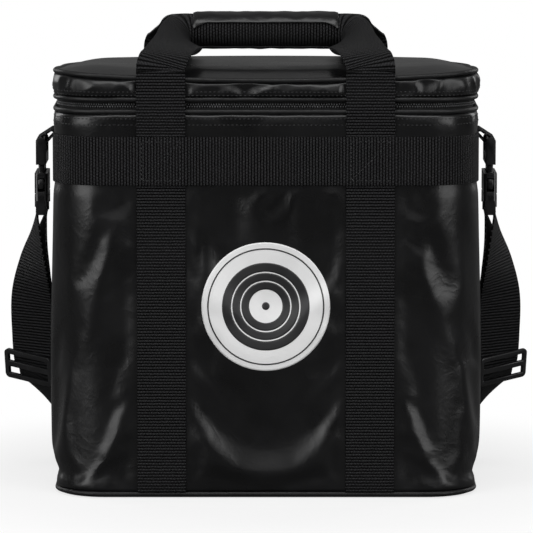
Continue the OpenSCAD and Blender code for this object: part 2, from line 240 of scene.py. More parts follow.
class Effects:
    """The shader node groups that several finishes share, each built once."""

    _made: dict[str, bpy.types.NodeTree] = {}

    @classmethod
    def place(cls, shader: Shader, maker: Callable[[], bpy.types.NodeTree],
              **values: object) -> bpy.types.Node:
        """Put a shared group into a material.

        Args:
            shader: the material's tree.
            maker: the class method that builds the group.
            **values: sockets or numbers for the group's inputs, by name, with _ for a space.

        Returns:
            The group node.
        """
        name = maker.__name__
        if name not in cls._made:
            cls._made[name] = maker()
        node = shader.add("ShaderNodeGroup")
        node.node_tree = cls._made[name]
        for key, value in values.items():
            socket = node.inputs[key.replace("_", " ").capitalize()]
            if isinstance(value, bpy.types.NodeSocket):
                shader.join(value, socket)
            else:
                socket.default_value = value
        return node

    @staticmethod
    def _group(name: str, inputs: Sequence[tuple[str, str]], outputs: Sequence[str]) -> tuple[
            bpy.types.NodeTree, Shader, bpy.types.Node, bpy.types.Node]:
        """Start a group with named sockets.

        Args:
            name: the group's name.
            inputs: pairs of socket name and socket type.
            outputs: names of its number outputs.

        Returns:
            The group, its Shader, its input node and its output node.
        """
        tree = bpy.data.node_groups.new(name, "ShaderNodeTree")
        for socket, kind in inputs:
            tree.interface.new_socket(name=socket, in_out="INPUT", socket_type=kind)
        for socket in outputs:
            tree.interface.new_socket(name=socket, in_out="OUTPUT", socket_type="NodeSocketFloat")
        shader = Shader(tree)
        return tree, shader, shader.add("NodeGroupInput"), shader.add("NodeGroupOutput")

    @staticmethod
    def webbing_ribs() -> bpy.types.NodeTree:
        """Ribs across a woven strap, each broken into yarns, with painted shade in the grooves and painted
        highlights on the tops.

        Returns:
            A group with Place, Pitch and Yarn inputs, and Height and Painted shade outputs; the painted shade
            is dark in the grooves and light on the rib tops.
        """
        tree, s, given, out = Effects._group(
            "Webbing ribs", [("Place", "NodeSocketVector"), ("Pitch", "NodeSocketFloat"),
                             ("Yarn", "NodeSocketFloat")], ["Height", "Shade"])
        parts = s.add("ShaderNodeSeparateXYZ")
        s.join(given.outputs["Place"], parts.inputs[0])
        uneven = s.noise(given.outputs["Place"], 190.0, 2.0)
        along = s.maths("DIVIDE", parts.outputs["Y"], given.outputs["Pitch"])
        along = s.maths("ADD", along, s.maths("MULTIPLY", uneven, 0.22))
        rib = s.maths("ABSOLUTE", s.maths("SINE", s.maths("MULTIPLY", along, math.pi)))
        row = s.maths("FLOOR", along)
        across = s.maths("DIVIDE", parts.outputs["X"], given.outputs["Yarn"])
        across = s.maths("ADD", across, s.maths("MULTIPLY", row, 0.5))
        yarn = s.maths("ABSOLUTE", s.maths("SINE", s.maths("MULTIPLY", across, math.pi)))
        ridge = s.maths("POWER", rib, 0.6)
        height = s.maths("MULTIPLY", ridge, s.maths("ADD", 0.4, s.maths("MULTIPLY", yarn, 0.6)))
        s.join(height, out.inputs["Height"])
        # Painted shade: the colour mask follows the rib height, dark in the grooves between ribs and yarns
        # and light on their tops, painting shade and highlights into the colour.
        s.join(s.ramp(height, 0.42, 1.0), out.inputs["Shade"])
        return tree

    @staticmethod
    def coated_weave() -> bpy.types.NodeTree:
        """The fine weave and crinkle of coated nylon.

        Returns:
            A group with Place, Thread and Crinkle inputs and Height and Rub outputs.
        """
        tree, s, given, out = Effects._group(
            "Coated weave", [("Place", "NodeSocketVector"), ("Thread", "NodeSocketFloat"),
                             ("Crinkle", "NodeSocketFloat")], ["Height", "Rub"])
        cells = s.vector("SCALE", given.outputs["Place"])
        s.join(s.maths("DIVIDE", math.pi, given.outputs["Thread"]), cells.node.inputs["Scale"])
        parts = s.add("ShaderNodeSeparateXYZ")
        s.join(cells, parts.inputs[0])
        flat = s.maths("ADD", parts.outputs["X"], parts.outputs["Y"])
        weave = s.maths("MULTIPLY", s.maths("SINE", flat), s.maths("SINE", parts.outputs["Z"]))
        broad = s.noise(given.outputs["Place"], 34.0, 3.0, 0.55, 0.4)
        fine = s.noise(given.outputs["Place"], 150.0, 3.0, 0.6, 0.6)
        centred = s.maths("SUBTRACT", s.maths("MULTIPLY", broad, 2.0), 1.0)
        crease = s.maths("POWER", s.maths("SUBTRACT", 1.0, s.maths("ABSOLUTE", centred)), 3.0)
        crinkle = s.maths("ADD", s.maths("MULTIPLY", crease, 0.7), s.maths("MULTIPLY", fine, 0.3))
        crinkle = s.maths("MULTIPLY", crinkle, given.outputs["Crinkle"])
        height = s.maths("ADD", crinkle, s.maths("MULTIPLY", weave, 0.02))
        s.join(height, out.inputs["Height"])
        s.join(s.ramp(s.noise(given.outputs["Place"], 21.0, 4.0, 0.6), 0.3, 0.75), out.inputs["Rub"])
        return tree

    @staticmethod
    def moulded_grain() -> bpy.types.NodeTree:
        """The fine grain and handling wear of moulded plastic or painted metal.

        Returns:
            A group with Place and Scale inputs and Height and Wear outputs.
        """
        tree, s, given, out = Effects._group(
            "Moulded grain", [("Place", "NodeSocketVector"), ("Scale", "NodeSocketFloat")],
            ["Height", "Wear"])
        grain = s.add("ShaderNodeTexNoise")
        s.join(given.outputs["Place"], grain.inputs["Vector"])
        s.join(given.outputs["Scale"], grain.inputs["Scale"])
        grain.inputs["Detail"].default_value = 3.0
        s.join(grain.outputs["Fac"], out.inputs["Height"])
        s.join(s.ramp(s.noise(given.outputs["Place"], 90.0, 4.0, 0.7), 0.45, 0.8), out.inputs["Wear"])
        return tree


# ---------- finishes ----------


@dataclass(frozen=True)
class Finish:
    """One surface finish of the case."""

    name: str
    dark: tuple[float, float, float]
    light: tuple[float, float, float]
    roughness: float
    rough_change: float = 0.1
    relief: float = 0.0002
    metallic: float = 0.0
    specular: float = 0.5

    def _pattern(self, shader: Shader, place: bpy.types.NodeSocket) -> tuple[
            bpy.types.NodeSocket, bpy.types.NodeSocket]:
        """Add this finish's pattern.

        Args:
            shader: the material's tree.
            place: the coordinates that the pattern reads.

        Returns:
            Its height, and the mask that mixes the two colours.
        """
        grain = Effects.place(shader, Effects.moulded_grain, place=place, scale=900.0)
        return grain.outputs["Height"], grain.outputs["Wear"]

    def _place(self, shader: Shader) -> bpy.types.NodeSocket:
        """Return the coordinates that the pattern reads."""
        return shader.add("ShaderNodeTexCoord").outputs["Object"]

    def build(self) -> bpy.types.Material:
        """Make the material once.

        Returns:
            The material.
        """
        made = bpy.data.materials.get(self.name)
        if made is not None:
            return made
        made = bpy.data.materials.new(self.name)
        made.use_nodes = True
        made.node_tree.nodes.clear()
        s = Shader(made.node_tree)
        surface = s.add("ShaderNodeBsdfPrincipled")
        end = s.add("ShaderNodeOutputMaterial")
        s.join(surface.outputs[0], end.inputs["Surface"])
        height, mask = self._pattern(s, self._place(s))
        # Mix the two colours by the pattern's mask: random tone for most finishes, painted shade and painted
        # highlights for ribbed webbing and zip tape.
        s.join(s.tint(mask, self.dark, self.light), surface.inputs["Base Color"])
        rough = s.maths("ADD", self.roughness, s.maths("MULTIPLY", mask, self.rough_change), clamp=True)
        s.join(rough, surface.inputs["Roughness"])
        bump = s.add("ShaderNodeBump")
        bump.inputs["Strength"].default_value = 1.0
        bump.inputs["Distance"].default_value = self.relief
        s.join(height, bump.inputs["Height"])
        s.join(bump.outputs[0], surface.inputs["Normal"])
        surface.inputs["Metallic"].default_value = self.metallic
        surface.inputs["Specular IOR Level"].default_value = self.specular
        return made


@dataclass(frozen=True)
class Webbing(Finish):
    """Ribbed woven strap, whose ribs run across it, with painted shade between the ribs and painted
    highlights on their tops.
    """

    pitch: float = 0.0023
    yarn: float = 0.0011

    def _place(self, shader: Shader) -> bpy.types.NodeSocket:
        """Read the strip's own map: across it, then along it, in metres."""
        return shader.add("ShaderNodeUVMap", uv_map=Strip.MAP).outputs["UV"]

    def _pattern(self, shader: Shader, place: bpy.types.NodeSocket) -> tuple[
            bpy.types.NodeSocket, bpy.types.NodeSocket]:
        """Add the ribs.

        Args:
            shader: the material's tree.
            place: the strip's map.

        Returns:
            Their height, and the painted shade that mixes the two colours: dark in the grooves and light on
            the rib tops.
        """
        # The ribs' colour mask is painted shade in the grooves and painted highlight on the rib tops.
        ribs = Effects.place(shader, Effects.webbing_ribs, place=place, pitch=self.pitch, yarn=self.yarn)
        return ribs.outputs["Height"], ribs.outputs["Shade"]


@dataclass(frozen=True)
class CoatedNylon(Finish):
    """Glossy coated nylon with crinkles."""

    thread: float = 0.0006
    crinkle: float = 1.0

    def _pattern(self, shader: Shader, place: bpy.types.NodeSocket) -> tuple[
            bpy.types.NodeSocket, bpy.types.NodeSocket]:
        """Add the weave.

        Args:
            shader: the material's tree.
            place: the coordinates that it reads.

        Returns:
            Its height and its rubbed patches.
        """
        weave = Effects.place(shader, Effects.coated_weave, place=place, thread=self.thread,
                              crinkle=self.crinkle)
        return weave.outputs["Height"], weave.outputs["Rub"]


COVER = CoatedNylon("Coated nylon", (0.0022, 0.0022, 0.0024), (0.0045, 0.0045, 0.005), 0.26, 0.08,
                    0.00026, specular=0.44)
SEAM_CORD = CoatedNylon("Seam cord cover", (0.0035, 0.0035, 0.0038), (0.007, 0.007, 0.0075), 0.42, 0.12,
                        0.0006, specular=0.35)
# Webbing and zip tape: the dark colour is painted shade in the rib grooves and the light colour is painted
# highlight on the rib tops.
WEBBING = Webbing("Ribbed webbing", (0.0002, 0.0002, 0.0002), (0.044, 0.044, 0.046), 0.5, 0.15,
                  0.0012, specular=0.08, pitch=0.0025, yarn=0.0012)
ZIP_TAPE = Webbing("Zip tape", (0.003, 0.003, 0.003), (0.014, 0.014, 0.015), 0.6, 0.1,
                   0.0002, specular=0.3, pitch=0.0011, yarn=0.0006)
ZIP_COIL = Finish("Zip coil", (0.06, 0.06, 0.062), (0.14, 0.14, 0.145), 0.25, 0.1, 0.00003)
PAINTED_METAL = Finish("Painted zip metal", (0.012, 0.012, 0.013), (0.05, 0.05, 0.052), 0.3, 0.15,
                       0.00004, metallic=0.4)
BUCKLE = Finish("Moulded buckle plastic", (0.0075, 0.0075, 0.008), (0.013, 0.013, 0.014), 0.2, 0.1, 0.00004)
THREAD = Finish("Sewing thread", (0.016, 0.016, 0.017), (0.034, 0.034, 0.036), 0.45, 0.1,
                0.00008, specular=0.4)
LINING = CoatedNylon("Nylon lining", (0.02, 0.02, 0.022), (0.03, 0.03, 0.032), 0.5, 0.15,
                     0.0009, specular=0.35)
FOAM = Finish("Closed-cell foam", (0.12, 0.12, 0.125), (0.17, 0.17, 0.175), 0.85, 0.05,
              0.0003, specular=0.2)
BOARD = Finish("Base board", (0.03, 0.03, 0.03), (0.04, 0.04, 0.04), 0.7, 0.05, 0.0002)
PRINT_WHITE = CoatedNylon("White print", (0.80, 0.80, 0.80), (0.84, 0.84, 0.84), 0.42, 0.08, 0.00018)
PRINT_BLACK = CoatedNylon("Black print", (0.012, 0.012, 0.013), (0.02, 0.02, 0.021), 0.4, 0.08, 0.00018)


# ---------- pieces ----------


def finish_piece(name: str, shape: bmesh.types.BMesh, finish: Finish,
                 replaces: Sequence[str] = ()) -> bpy.types.Object:
    """Turn a shape into an object at the origin, with its finish.

    Args:
        name: the piece's name.
        shape: its mesh, which is used up.
        finish: its finish.
        replaces: the frame nodes that it stands for.

    Returns:
        The new object.
    """
    mesh = bpy.data.meshes.new(name)
    shape.to_mesh(mesh)
    shape.free()
    mesh.shade_smooth()
    mesh.materials.append(finish.build())
    piece = bpy.data.objects.new(name, mesh)
    bpy.context.collection.objects.link(piece)
    if replaces:
        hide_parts(*replaces)
    LOG.info("%s: %d faces", name, len(mesh.polygons))
    return piece


def bent_sheet(columns: int, rows: int, bend: Callable[[float, float], Vector],
               lay: Callable[[float, float], tuple[float, float]] | None = None) -> bmesh.types.BMesh:
    """Bend a flat grid into place, close it where its edges meet, and map it.

    Args:
        columns: steps across the grid.
        rows: steps up the grid.
        bend: gives the place in space of a point of the grid, from 0 to 1 both ways.
        lay: gives its place on the unrolled strip, across and along, in metres.

    Returns:
        The sheet.
    """
    shape = bmesh.new()
    bmesh.ops.create_grid(shape, x_segments=columns, y_segments=rows, size=0.5)
    shape.verts.index_update()
    spots = [(vert.co.x + 0.5, vert.co.y + 0.5) for vert in shape.verts]
    if lay is not None:
        layer = shape.loops.layers.uv.new(Strip.MAP)
        for face in shape.faces:
            for loop in face.loops:
                loop[layer].uv = lay(*spots[loop.vert.index])
    for vert, spot in zip(shape.verts, spots):
        vert.co = bend(*spot)
    bmesh.ops.remove_doubles(shape, verts=shape.verts, dist=POINT_GAP)
    bmesh.ops.recalc_face_normals(shape, faces=shape.faces)
    return shape


def copies(seed: bmesh.types.BMesh, places: Sequence[Matrix], batch: int = 128) -> bmesh.types.BMesh:
    """Repeat a small shape, which is used up, at many places.

    Args:
        seed: the shape, at the origin.
        places: where each copy goes.
        batch: copies that are gathered at a time, because small meshes join faster.

    Returns:
        All the copies in one mesh.
    """
    model = bpy.data.meshes.new("model")
    seed.to_mesh(model)
    seed.free()
    whole = bmesh.new()
    for first in range(0, len(places), batch):
        block = bmesh.new()
        for place in places[first:first + batch]:
            one = model.copy()
            one.transform(place)
            block.from_mesh(one)
            bpy.data.meshes.remove(one)
        gathered = bpy.data.meshes.new("gathered")
        block.to_mesh(gathered)
        block.free()
        whole.from_mesh(gathered)
        bpy.data.meshes.remove(gathered)
    bpy.data.meshes.remove(model)
    bmesh.ops.recalc_face_normals(whole, faces=whole.faces)
    return whole


def set_down(along: Vector, out: Vector, place: Vector) -> Matrix:
    """Find the matrix that sets a shape down.

    Args:
        along: where its X points.
        out: where its Y points.
        place: where its origin goes.

    Returns:
        The matrix.
    """
    matrix = Matrix((along, out, along.cross(out))).transposed().to_4x4()
    matrix.translation = place
    return matrix


def apply_modifiers(piece: bpy.types.Object) -> None:
    """Fix a piece's modifiers in its mesh.

    Args:
        piece: the piece, whose old mesh is removed.
    """
    bpy.context.view_layer.update()
    graph = bpy.context.evaluated_depsgraph_get()
    final = bpy.data.meshes.new_from_object(piece.evaluated_get(graph))
    old = piece.data
    piece.modifiers.clear()
    piece.data = final
    bpy.data.meshes.remove(old)


def soften_edges(piece: bpy.types.Object, radius: float, sharper_than: float) -> None:
    """Add a modifier that rounds a piece's edges.

    Args:
        piece: the piece.
        radius: radius of the edges.
        sharper_than: the turn, in degrees, above which an edge is rounded.
    """
    edge = piece.modifiers.new("Edges", "BEVEL")
    edge.width = radius
    edge.segments = 2
    edge.limit_method = "ANGLE"
    edge.angle_limit = math.radians(sharper_than)


def thicken(piece: bpy.types.Object, thickness: float, offset: float = 0.0, round_off: float = 0.0) -> None:
    """Give a sheet its thickness and rounded edges, and fix them in the mesh.

    Args:
        piece: the sheet.
        thickness: its thickness.
        offset: which side grows, from -1 to 1.
        round_off: radius of the edges, or 0.
    """
    wall = piece.modifiers.new("Thickness", "SOLIDIFY")
    wall.thickness = thickness
    wall.offset = offset
    wall.use_even_offset = False
    if round_off:
        soften_edges(piece, round_off, 50)
    apply_modifiers(piece)
    piece.data.shade_smooth()


def dress(node: str, finish: Finish) -> None:
    """Give a frame node a finish.

    Args:
        node: the node's name.
        finish: its finish.
    """
    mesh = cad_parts[node].data
    mesh.materials.clear()
    mesh.materials.append(finish.build())


def rounded_copy(node: str, finish: Finish, body: str, radius: float) -> bpy.types.Object:
    """Make a moulded piece with rounded edges over a frame node.

    Args:
        node: the frame node that it copies and stands for.
        finish: its finish.
        body: the body that it rides on.
        radius: radius of its edges.

    Returns:
        The new object.
    """
    shape = bmesh.new()
    shape.from_mesh(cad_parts[node].data)
    bmesh.ops.remove_doubles(shape, verts=shape.verts, dist=NODE_POINT_GAP)
    bmesh.ops.dissolve_limit(shape, angle_limit=math.radians(2), verts=shape.verts, edges=shape.edges)
    piece = finish_piece(f"{node}_moulded", shape, finish, [node])
    soften_edges(piece, radius, 40)
    apply_modifiers(piece)
    piece.data.shade_smooth()
    piece.data.set_sharp_from_angle(angle=math.radians(55))
    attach(piece, body)
    return piece


@dataclass(frozen=True)
class Plan:
    """The case's rounded plan, walked from the middle of the rear side, anticlockwise from above."""

    half_w: float
    half_d: float
    corner: float

    @property
    def straight_x(self) -> float:
        """Half the straight part of the front and rear sides."""
        return self.half_w - self.corner

    @property
    def straight_y(self) -> float:
        """Half the straight part of the left and right sides."""
        return self.half_d - self.corner

    @property
    def rear_end(self) -> float:
        """How far the rear's straight part and corner reach."""
        return self.straight_x + math.pi * self.corner / 2

    @property
    def length(self) -> float:
        """The length of the whole walk."""
        return 4 * (self.straight_x + self.straight_y) + 2 * math.pi * self.corner

    def at(self, walk: float) -> tuple[Vector, Vector]:
        """Find a place on the outline.

        Args:
            walk: distance along the outline.

        Returns:
            The point and the outward direction, both flat.
        """
        quarter = math.pi * self.corner / 2
        parts = [(self.straight_x, "line", (0, self.half_d), (-1, 0), (0, 1)),
                 (quarter, "arc", (-self.straight_x, self.straight_y), 90, None),
                 (2 * self.straight_y, "line", (-self.half_w, self.straight_y), (0, -1), (-1, 0)),
                 (quarter, "arc", (-self.straight_x, -self.straight_y), 180, None),
                 (2 * self.straight_x, "line", (-self.straight_x, -self.half_d), (1, 0), (0, -1)),
                 (quarter, "arc", (self.straight_x, -self.straight_y), 270, None),
                 (2 * self.straight_y, "line", (self.half_w, -self.straight_y), (0, 1), (1, 0)),
                 (quarter, "arc", (self.straight_x, self.straight_y), 0, None),
                 (self.straight_x, "line", (self.straight_x, self.half_d), (-1, 0), (0, 1))]
        rest = walk % self.length
        for size, kind, start, way, out in parts:
            if rest <= size:
                break
            rest -= size
        if kind == "line":
            return (Vector((start[0] + way[0] * rest, start[1] + way[1] * rest, 0)), Vector((*out, 0)))
        turn = math.radians(way) + rest / self.corner
        facing = Vector((math.cos(turn), math.sin(turn), 0))
        return Vector((*start, 0)) + facing * self.corner, facing

    def steps(self, pitch: float) -> int:
        """Number of even steps of about a pitch in the whole walk."""
        return round(self.length / pitch)


@dataclass(frozen=True)
class Case:
    """The sizes that everything else follows, read from the frame."""

    plan: Plan
    wall_low: float
    wall_high: float
    band_low: float
    band_high: float
    strap_x: float
    web_w: float
    web_t: float
    lid_low: float
    lid_high: float
    zip_z: float

    @classmethod
    def from_frame(cls, corner: float = 0.042) -> "Case":
        """Read the sizes from the frame's nodes.

        Args:
            corner: radius of the plan's corners.

        Returns:
            The sizes.
        """
        low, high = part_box("body_cover")
        band_low, band_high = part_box("body_band")
        strap_low, strap_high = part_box("front_webbing_right")
        skirt_low, skirt_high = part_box("lid_skirt")
        return cls(Plan(high.x, high.y, corner), low.z, high.z, band_low.z, band_high.z,
                   (strap_low.x + strap_high.x) / 2, strap_high.x - strap_low.x, strap_high.y - strap_low.y,
                   skirt_low.z, skirt_high.z, (high.z + skirt_low.z) / 2)

    def from_strap(self, place: Vector) -> float:
        """Distance from the nearest upright strap.

        Args:
            place: a place on or near the wall.

        Returns:
            The distance, which is negative under a strap and endless at the sides.
        """
        if abs(place.y) <= self.plan.straight_y + 0.03:
            return math.inf
        return abs(abs(place.x) - self.strap_x) - self.web_w / 2


def cord_ring(case: Case, node: str, name: str, body: str,
              lift: Callable[[Vector], float] = lambda flat: 0.0) -> None:
    """Lay a covered cord in a seam that runs right round the case.

    Args:
        case: the case's sizes.
        node: the frame node that it stands for.
        name: the piece's name.
        body: the body that it rides on.
        lift: how far the seam stands above the node at a flat place.
    """
    low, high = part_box(node)
    radius = (high.z - low.z) / 2
    inset = case.plan.half_w - (high.x - radius)

    def bend(u: float, v: float) -> Vector:
        """Place one point of the cord, which wavers a little between its stitches.

        Args:
            u: share of the way round the case.
            v: share of the way round the cord.

        Returns:
            The point.
        """
        flat, out = case.plan.at(u * case.plan.length)
        turn = 2 * math.pi * v
        waver = 0.0001 * noise.noise(Vector((flat.x * 90, flat.y * 90, high.z * 40)))
        return (flat + out * (radius * math.cos(turn) - inset + waver)
                + Vector((0, 0, (low.z + high.z) / 2 + radius * math.sin(turn) + waver + lift(flat))))

    shape = bent_sheet(case.plan.steps(0.004), 12, bend)
    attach(finish_piece(name, shape, SEAM_CORD, [node]), body)


# ---------- strips ----------


Station = tuple[float, float, float, float, float, float, float, float]
Frame = tuple[Vector, Vector, Vector, float, float]


@dataclass
class Strip:
    """Webbing that follows stations: place, direction across, curl in degrees, offset, in mm."""

    MAP = "Strip"
    FLAT = 0.5

    stations: Sequence[Station]
    width: float
    thickness: float
    steps: int = 8
    cells: int = 10

    @staticmethod
    def smooth(stations: Sequence[Station], steps: int) -> list[list[float]]:
        """Run a smooth line through the stations.

        Args:
            stations: the stations.
            steps: steps between neighbours.

        Returns:
            The finer stations.
        """
        last = len(stations) - 1
        line = []
        for i in range(last):
            a, b = stations[max(i - 1, 0)], stations[i]
            c, d = stations[i + 1], stations[min(i + 2, last)]
            for j in range(steps):
                t = j / steps
                line.append([0.5 * (2 * q + (r - p) * t + (2 * p - 5 * q + 4 * r - s) * t ** 2
                                    + (3 * q - p - 3 * r + s) * t ** 3) for p, q, r, s in zip(a, b, c, d)])
        line.append(list(stations[last]))
        return line

    def frames(self) -> list[Frame]:
        """Find the frame at each step of the smooth line.

        Returns:
            Place, across, inward, curl in radians and walked length, in metres.
        """
        line = self.smooth(self.stations, self.steps)
        places = [Vector(s[:3]) * 0.001 for s in line]
        found = []
        walked = 0.0
        for i, s in enumerate(line):
            ahead = (places[min(i + 1, len(places) - 1)] - places[max(i - 1, 0)]).normalized()
            across = Vector(s[3:6])
            across = (across - ahead * across.dot(ahead)).normalized()
            inward = ahead.cross(across)
            if i:
                walked += (places[i] - places[i - 1]).length
            curl = math.radians(max(s[6], self.FLAT))
            found.append((places[i] + inward * s[7] * 0.001, across, inward, curl, walked))
        return found

    def sheet(self) -> bmesh.types.BMesh:
        """Bend a flat grid onto the route and map it in metres, across and along."""
        return ribbon(self.frames(), self.width, self.cells)

    def build(self, name: str, replaces: Sequence[str], body: str) -> None:
        """Make the strip a piece.

        Args:
            name: the piece's name.
            replaces: the frame nodes that it stands for.
            body: the body that it rides on.
        """
        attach(webbing_piece(name, self.sheet(), self.thickness, replaces), body)


def webbing_piece(name: str, shape: bmesh.types.BMesh, thickness: float, replaces: Sequence[str],
                  edge: float = 0.3) -> bpy.types.Object:
    """Give a sheet of webbing its thickness and soft edges.

    Args:
        name: the piece's name.
        shape: the sheet.
        thickness: the webbing's thickness.
        replaces: the frame nodes that it stands for.
        edge: radius of its edges, as a share of the thickness.

    Returns:
        The piece, which rides on nothing yet.
    """
    piece = finish_piece(name, shape, WEBBING, replaces)
    thicken(piece, thickness, 0.0, thickness * edge)
    return piece


def ribbon(frames: Sequence[Frame], width: float, cells: int) -> bmesh.types.BMesh:
    """Bend a flat grid onto places with their directions.

    Args:
        frames: place, across, inward, curl in radians and walked length, in metres.
        width: the ribbon's width.
        cells: steps across it.

    Returns:
        The ribbon, mapped across and along.
    """
    last = len(frames) - 1

    def bend(u: float, v: float) -> Vector:
        """Place one point of the ribbon."""
        place, across, inward, curl, _ = frames[round(v * last)]
        radius, turn = width / curl, curl * (u - 0.5)
        return place + across * (radius * math.sin(turn)) + inward * (radius - radius * math.cos(turn))

    return bent_sheet(cells, last, bend, lambda u, v: (u * width, frames[round(v * last)][4]))


def mirrored(station: Station) -> Station:
    """Mirror a station from left to right."""
    x, y, z, ax, ay, az, curl, offset = station
    return (-x, y, z, -ax, ay, az, curl, offset)


def mirror_sheet(shape: bmesh.types.BMesh, axis: Vector) -> None:
    """Mirror a sheet across the origin and turn its faces back out.

    Args:
        shape: the sheet.
        axis: the direction that is mirrored.
    """
    flip = Matrix.Scale(-1.0, 4, axis)
    bmesh.ops.transform(shape, matrix=flip, verts=shape.verts)
    bmesh.ops.reverse_faces(shape, faces=shape.faces)


# ---------- stitching ----------


@dataclass
class Stitching:
    """Rows of thread stitches sunk a little into the cloth."""

    length: float = 0.0026
    pitch: float = 0.0036
    thick: float = 0.00045

    places: list[Matrix] = field(default_factory=list)

    def row(self, points: Sequence[Vector], facing: Sequence[Vector]) -> None:
        """Sew along a line.

        Args:
            points: close points along the line.
            facing: the surface's direction at each point.
        """
        rest = self.pitch / 2
        for i in range(len(points) - 1):
            step = points[i + 1] - points[i]
            size = step.length
            while 0 < size and rest <= size:
                self._stitch(points[i] + step * (rest / size), step.normalized(), facing[i])
                rest += self.pitch
            rest -= size

    def line(self, start: Vector, end: Vector, facing: Vector) -> None:
        """Sew one straight line."""
        self.row([start, end], [facing, facing])

    def _stitch(self, place: Vector, along: Vector, up: Vector) -> None:
        """Set one stitch."""
        side = up.cross(along).normalized()
        self.places.append(set_down(along, side.cross(along), place))

    def build(self, name: str, body: str) -> bpy.types.Object:
        """Make all the stitches one piece.

        Args:
            name: the piece's name.
            body: the body that it rides on.

        Returns:
            The piece.
        """
        seed = bmesh.new()
        bmesh.ops.create_icosphere(seed, subdivisions=1, radius=0.5)
        bmesh.ops.scale(seed, vec=(self.length, self.thick * 1.5, self.thick * 2), verts=seed.verts)
        piece = finish_piece(name, copies(seed, self.places), THREAD)
        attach(piece, body)
        return piece


# ---------- the soft cover ----------


def surface_tree(piece: bpy.types.Object) -> BVHTree:
    """Index a piece's faces, so that something can be laid on them.

    Args:
        piece: the piece.

    Returns:
        The tree of its faces.
    """
    return BVHTree.FromPolygons([vert.co for vert in piece.data.vertices],
                                [face.vertices for face in piece.data.polygons])


@dataclass
class Drape:
    """Loose cloth, held at its seams, that buckles a little under air and its own weight."""

    slack: float = 0.027
    air: float = 0.25
    frames: int = 32
    bending: float = 0.9
    outward: float = 0.0062
    inward: float = 0.0
    stretch: float = 18.0
    shear: float = 7.0
    mass: float = 0.15
    weight: float = 0.35

    def settle(self, shape: bmesh.types.BMesh, held: Sequence[float]) -> list[Vector]:
        """Let a sheet settle.

        Args:
            shape: the sheet, which stays as it was.
            held: 1 where a point is sewn down, 0 where it is free.

        Returns:
            How far each point moved.
        """
        shape.verts.index_update()
        rest = [vert.co.copy() for vert in shape.verts]
        mesh = bpy.data.meshes.new("drape")
        shape.to_mesh(mesh)
        piece = bpy.data.objects.new("drape", mesh)
        bpy.context.collection.objects.link(piece)
        group = piece.vertex_groups.new(name="held")
        for index, weight in enumerate(held):
            group.add([index], weight, "REPLACE")
        cloth = piece.modifiers.new("Cloth", "CLOTH")
        made = cloth.settings
        made.quality = 6
        made.mass = self.mass
        made.air_damping = 4.0
        made.tension_stiffness = made.compression_stiffness = self.stretch
        made.shear_stiffness = self.shear
        made.bending_stiffness = self.bending
        made.vertex_group_mass = "held"
        made.shrink_min = made.shrink_max = -self.slack
        made.use_pressure = True
        made.uniform_pressure_force = self.air
        made.effector_weights.gravity = self.weight
        cloth.collision_settings.use_collision = False
        cloth.collision_settings.use_self_collision = False
        scene = bpy.context.scene
        for frame in range(1, self.frames + 1):
            scene.frame_set(frame)
        graph = bpy.context.evaluated_depsgraph_get()
        moved = [vert.co - start for vert, start in zip(piece.evaluated_get(graph).data.vertices, rest)]
        scene.frame_set(1)
        bpy.data.objects.remove(piece)
        bpy.data.meshes.remove(mesh)
        return moved

    def kept(self, move: Vector, out: Vector, free: float) -> Vector:
        """Limit one point's move.

        Args:
            move: how far it moved.
            out: the outward direction.
            free: 0 at a seam, 1 well clear of one.

        Returns:
            The move that is kept.
        """
        rise = move.dot(out)
        limit = self.outward if rise > 0 else self.inward
        soft = limit * math.tanh(rise / limit) if limit else 0.0
        slide = move - out * rise
        if slide.length > self.outward:
            slide = slide.normalized() * self.outward
        return (out * soft + slide * 0.5) * free


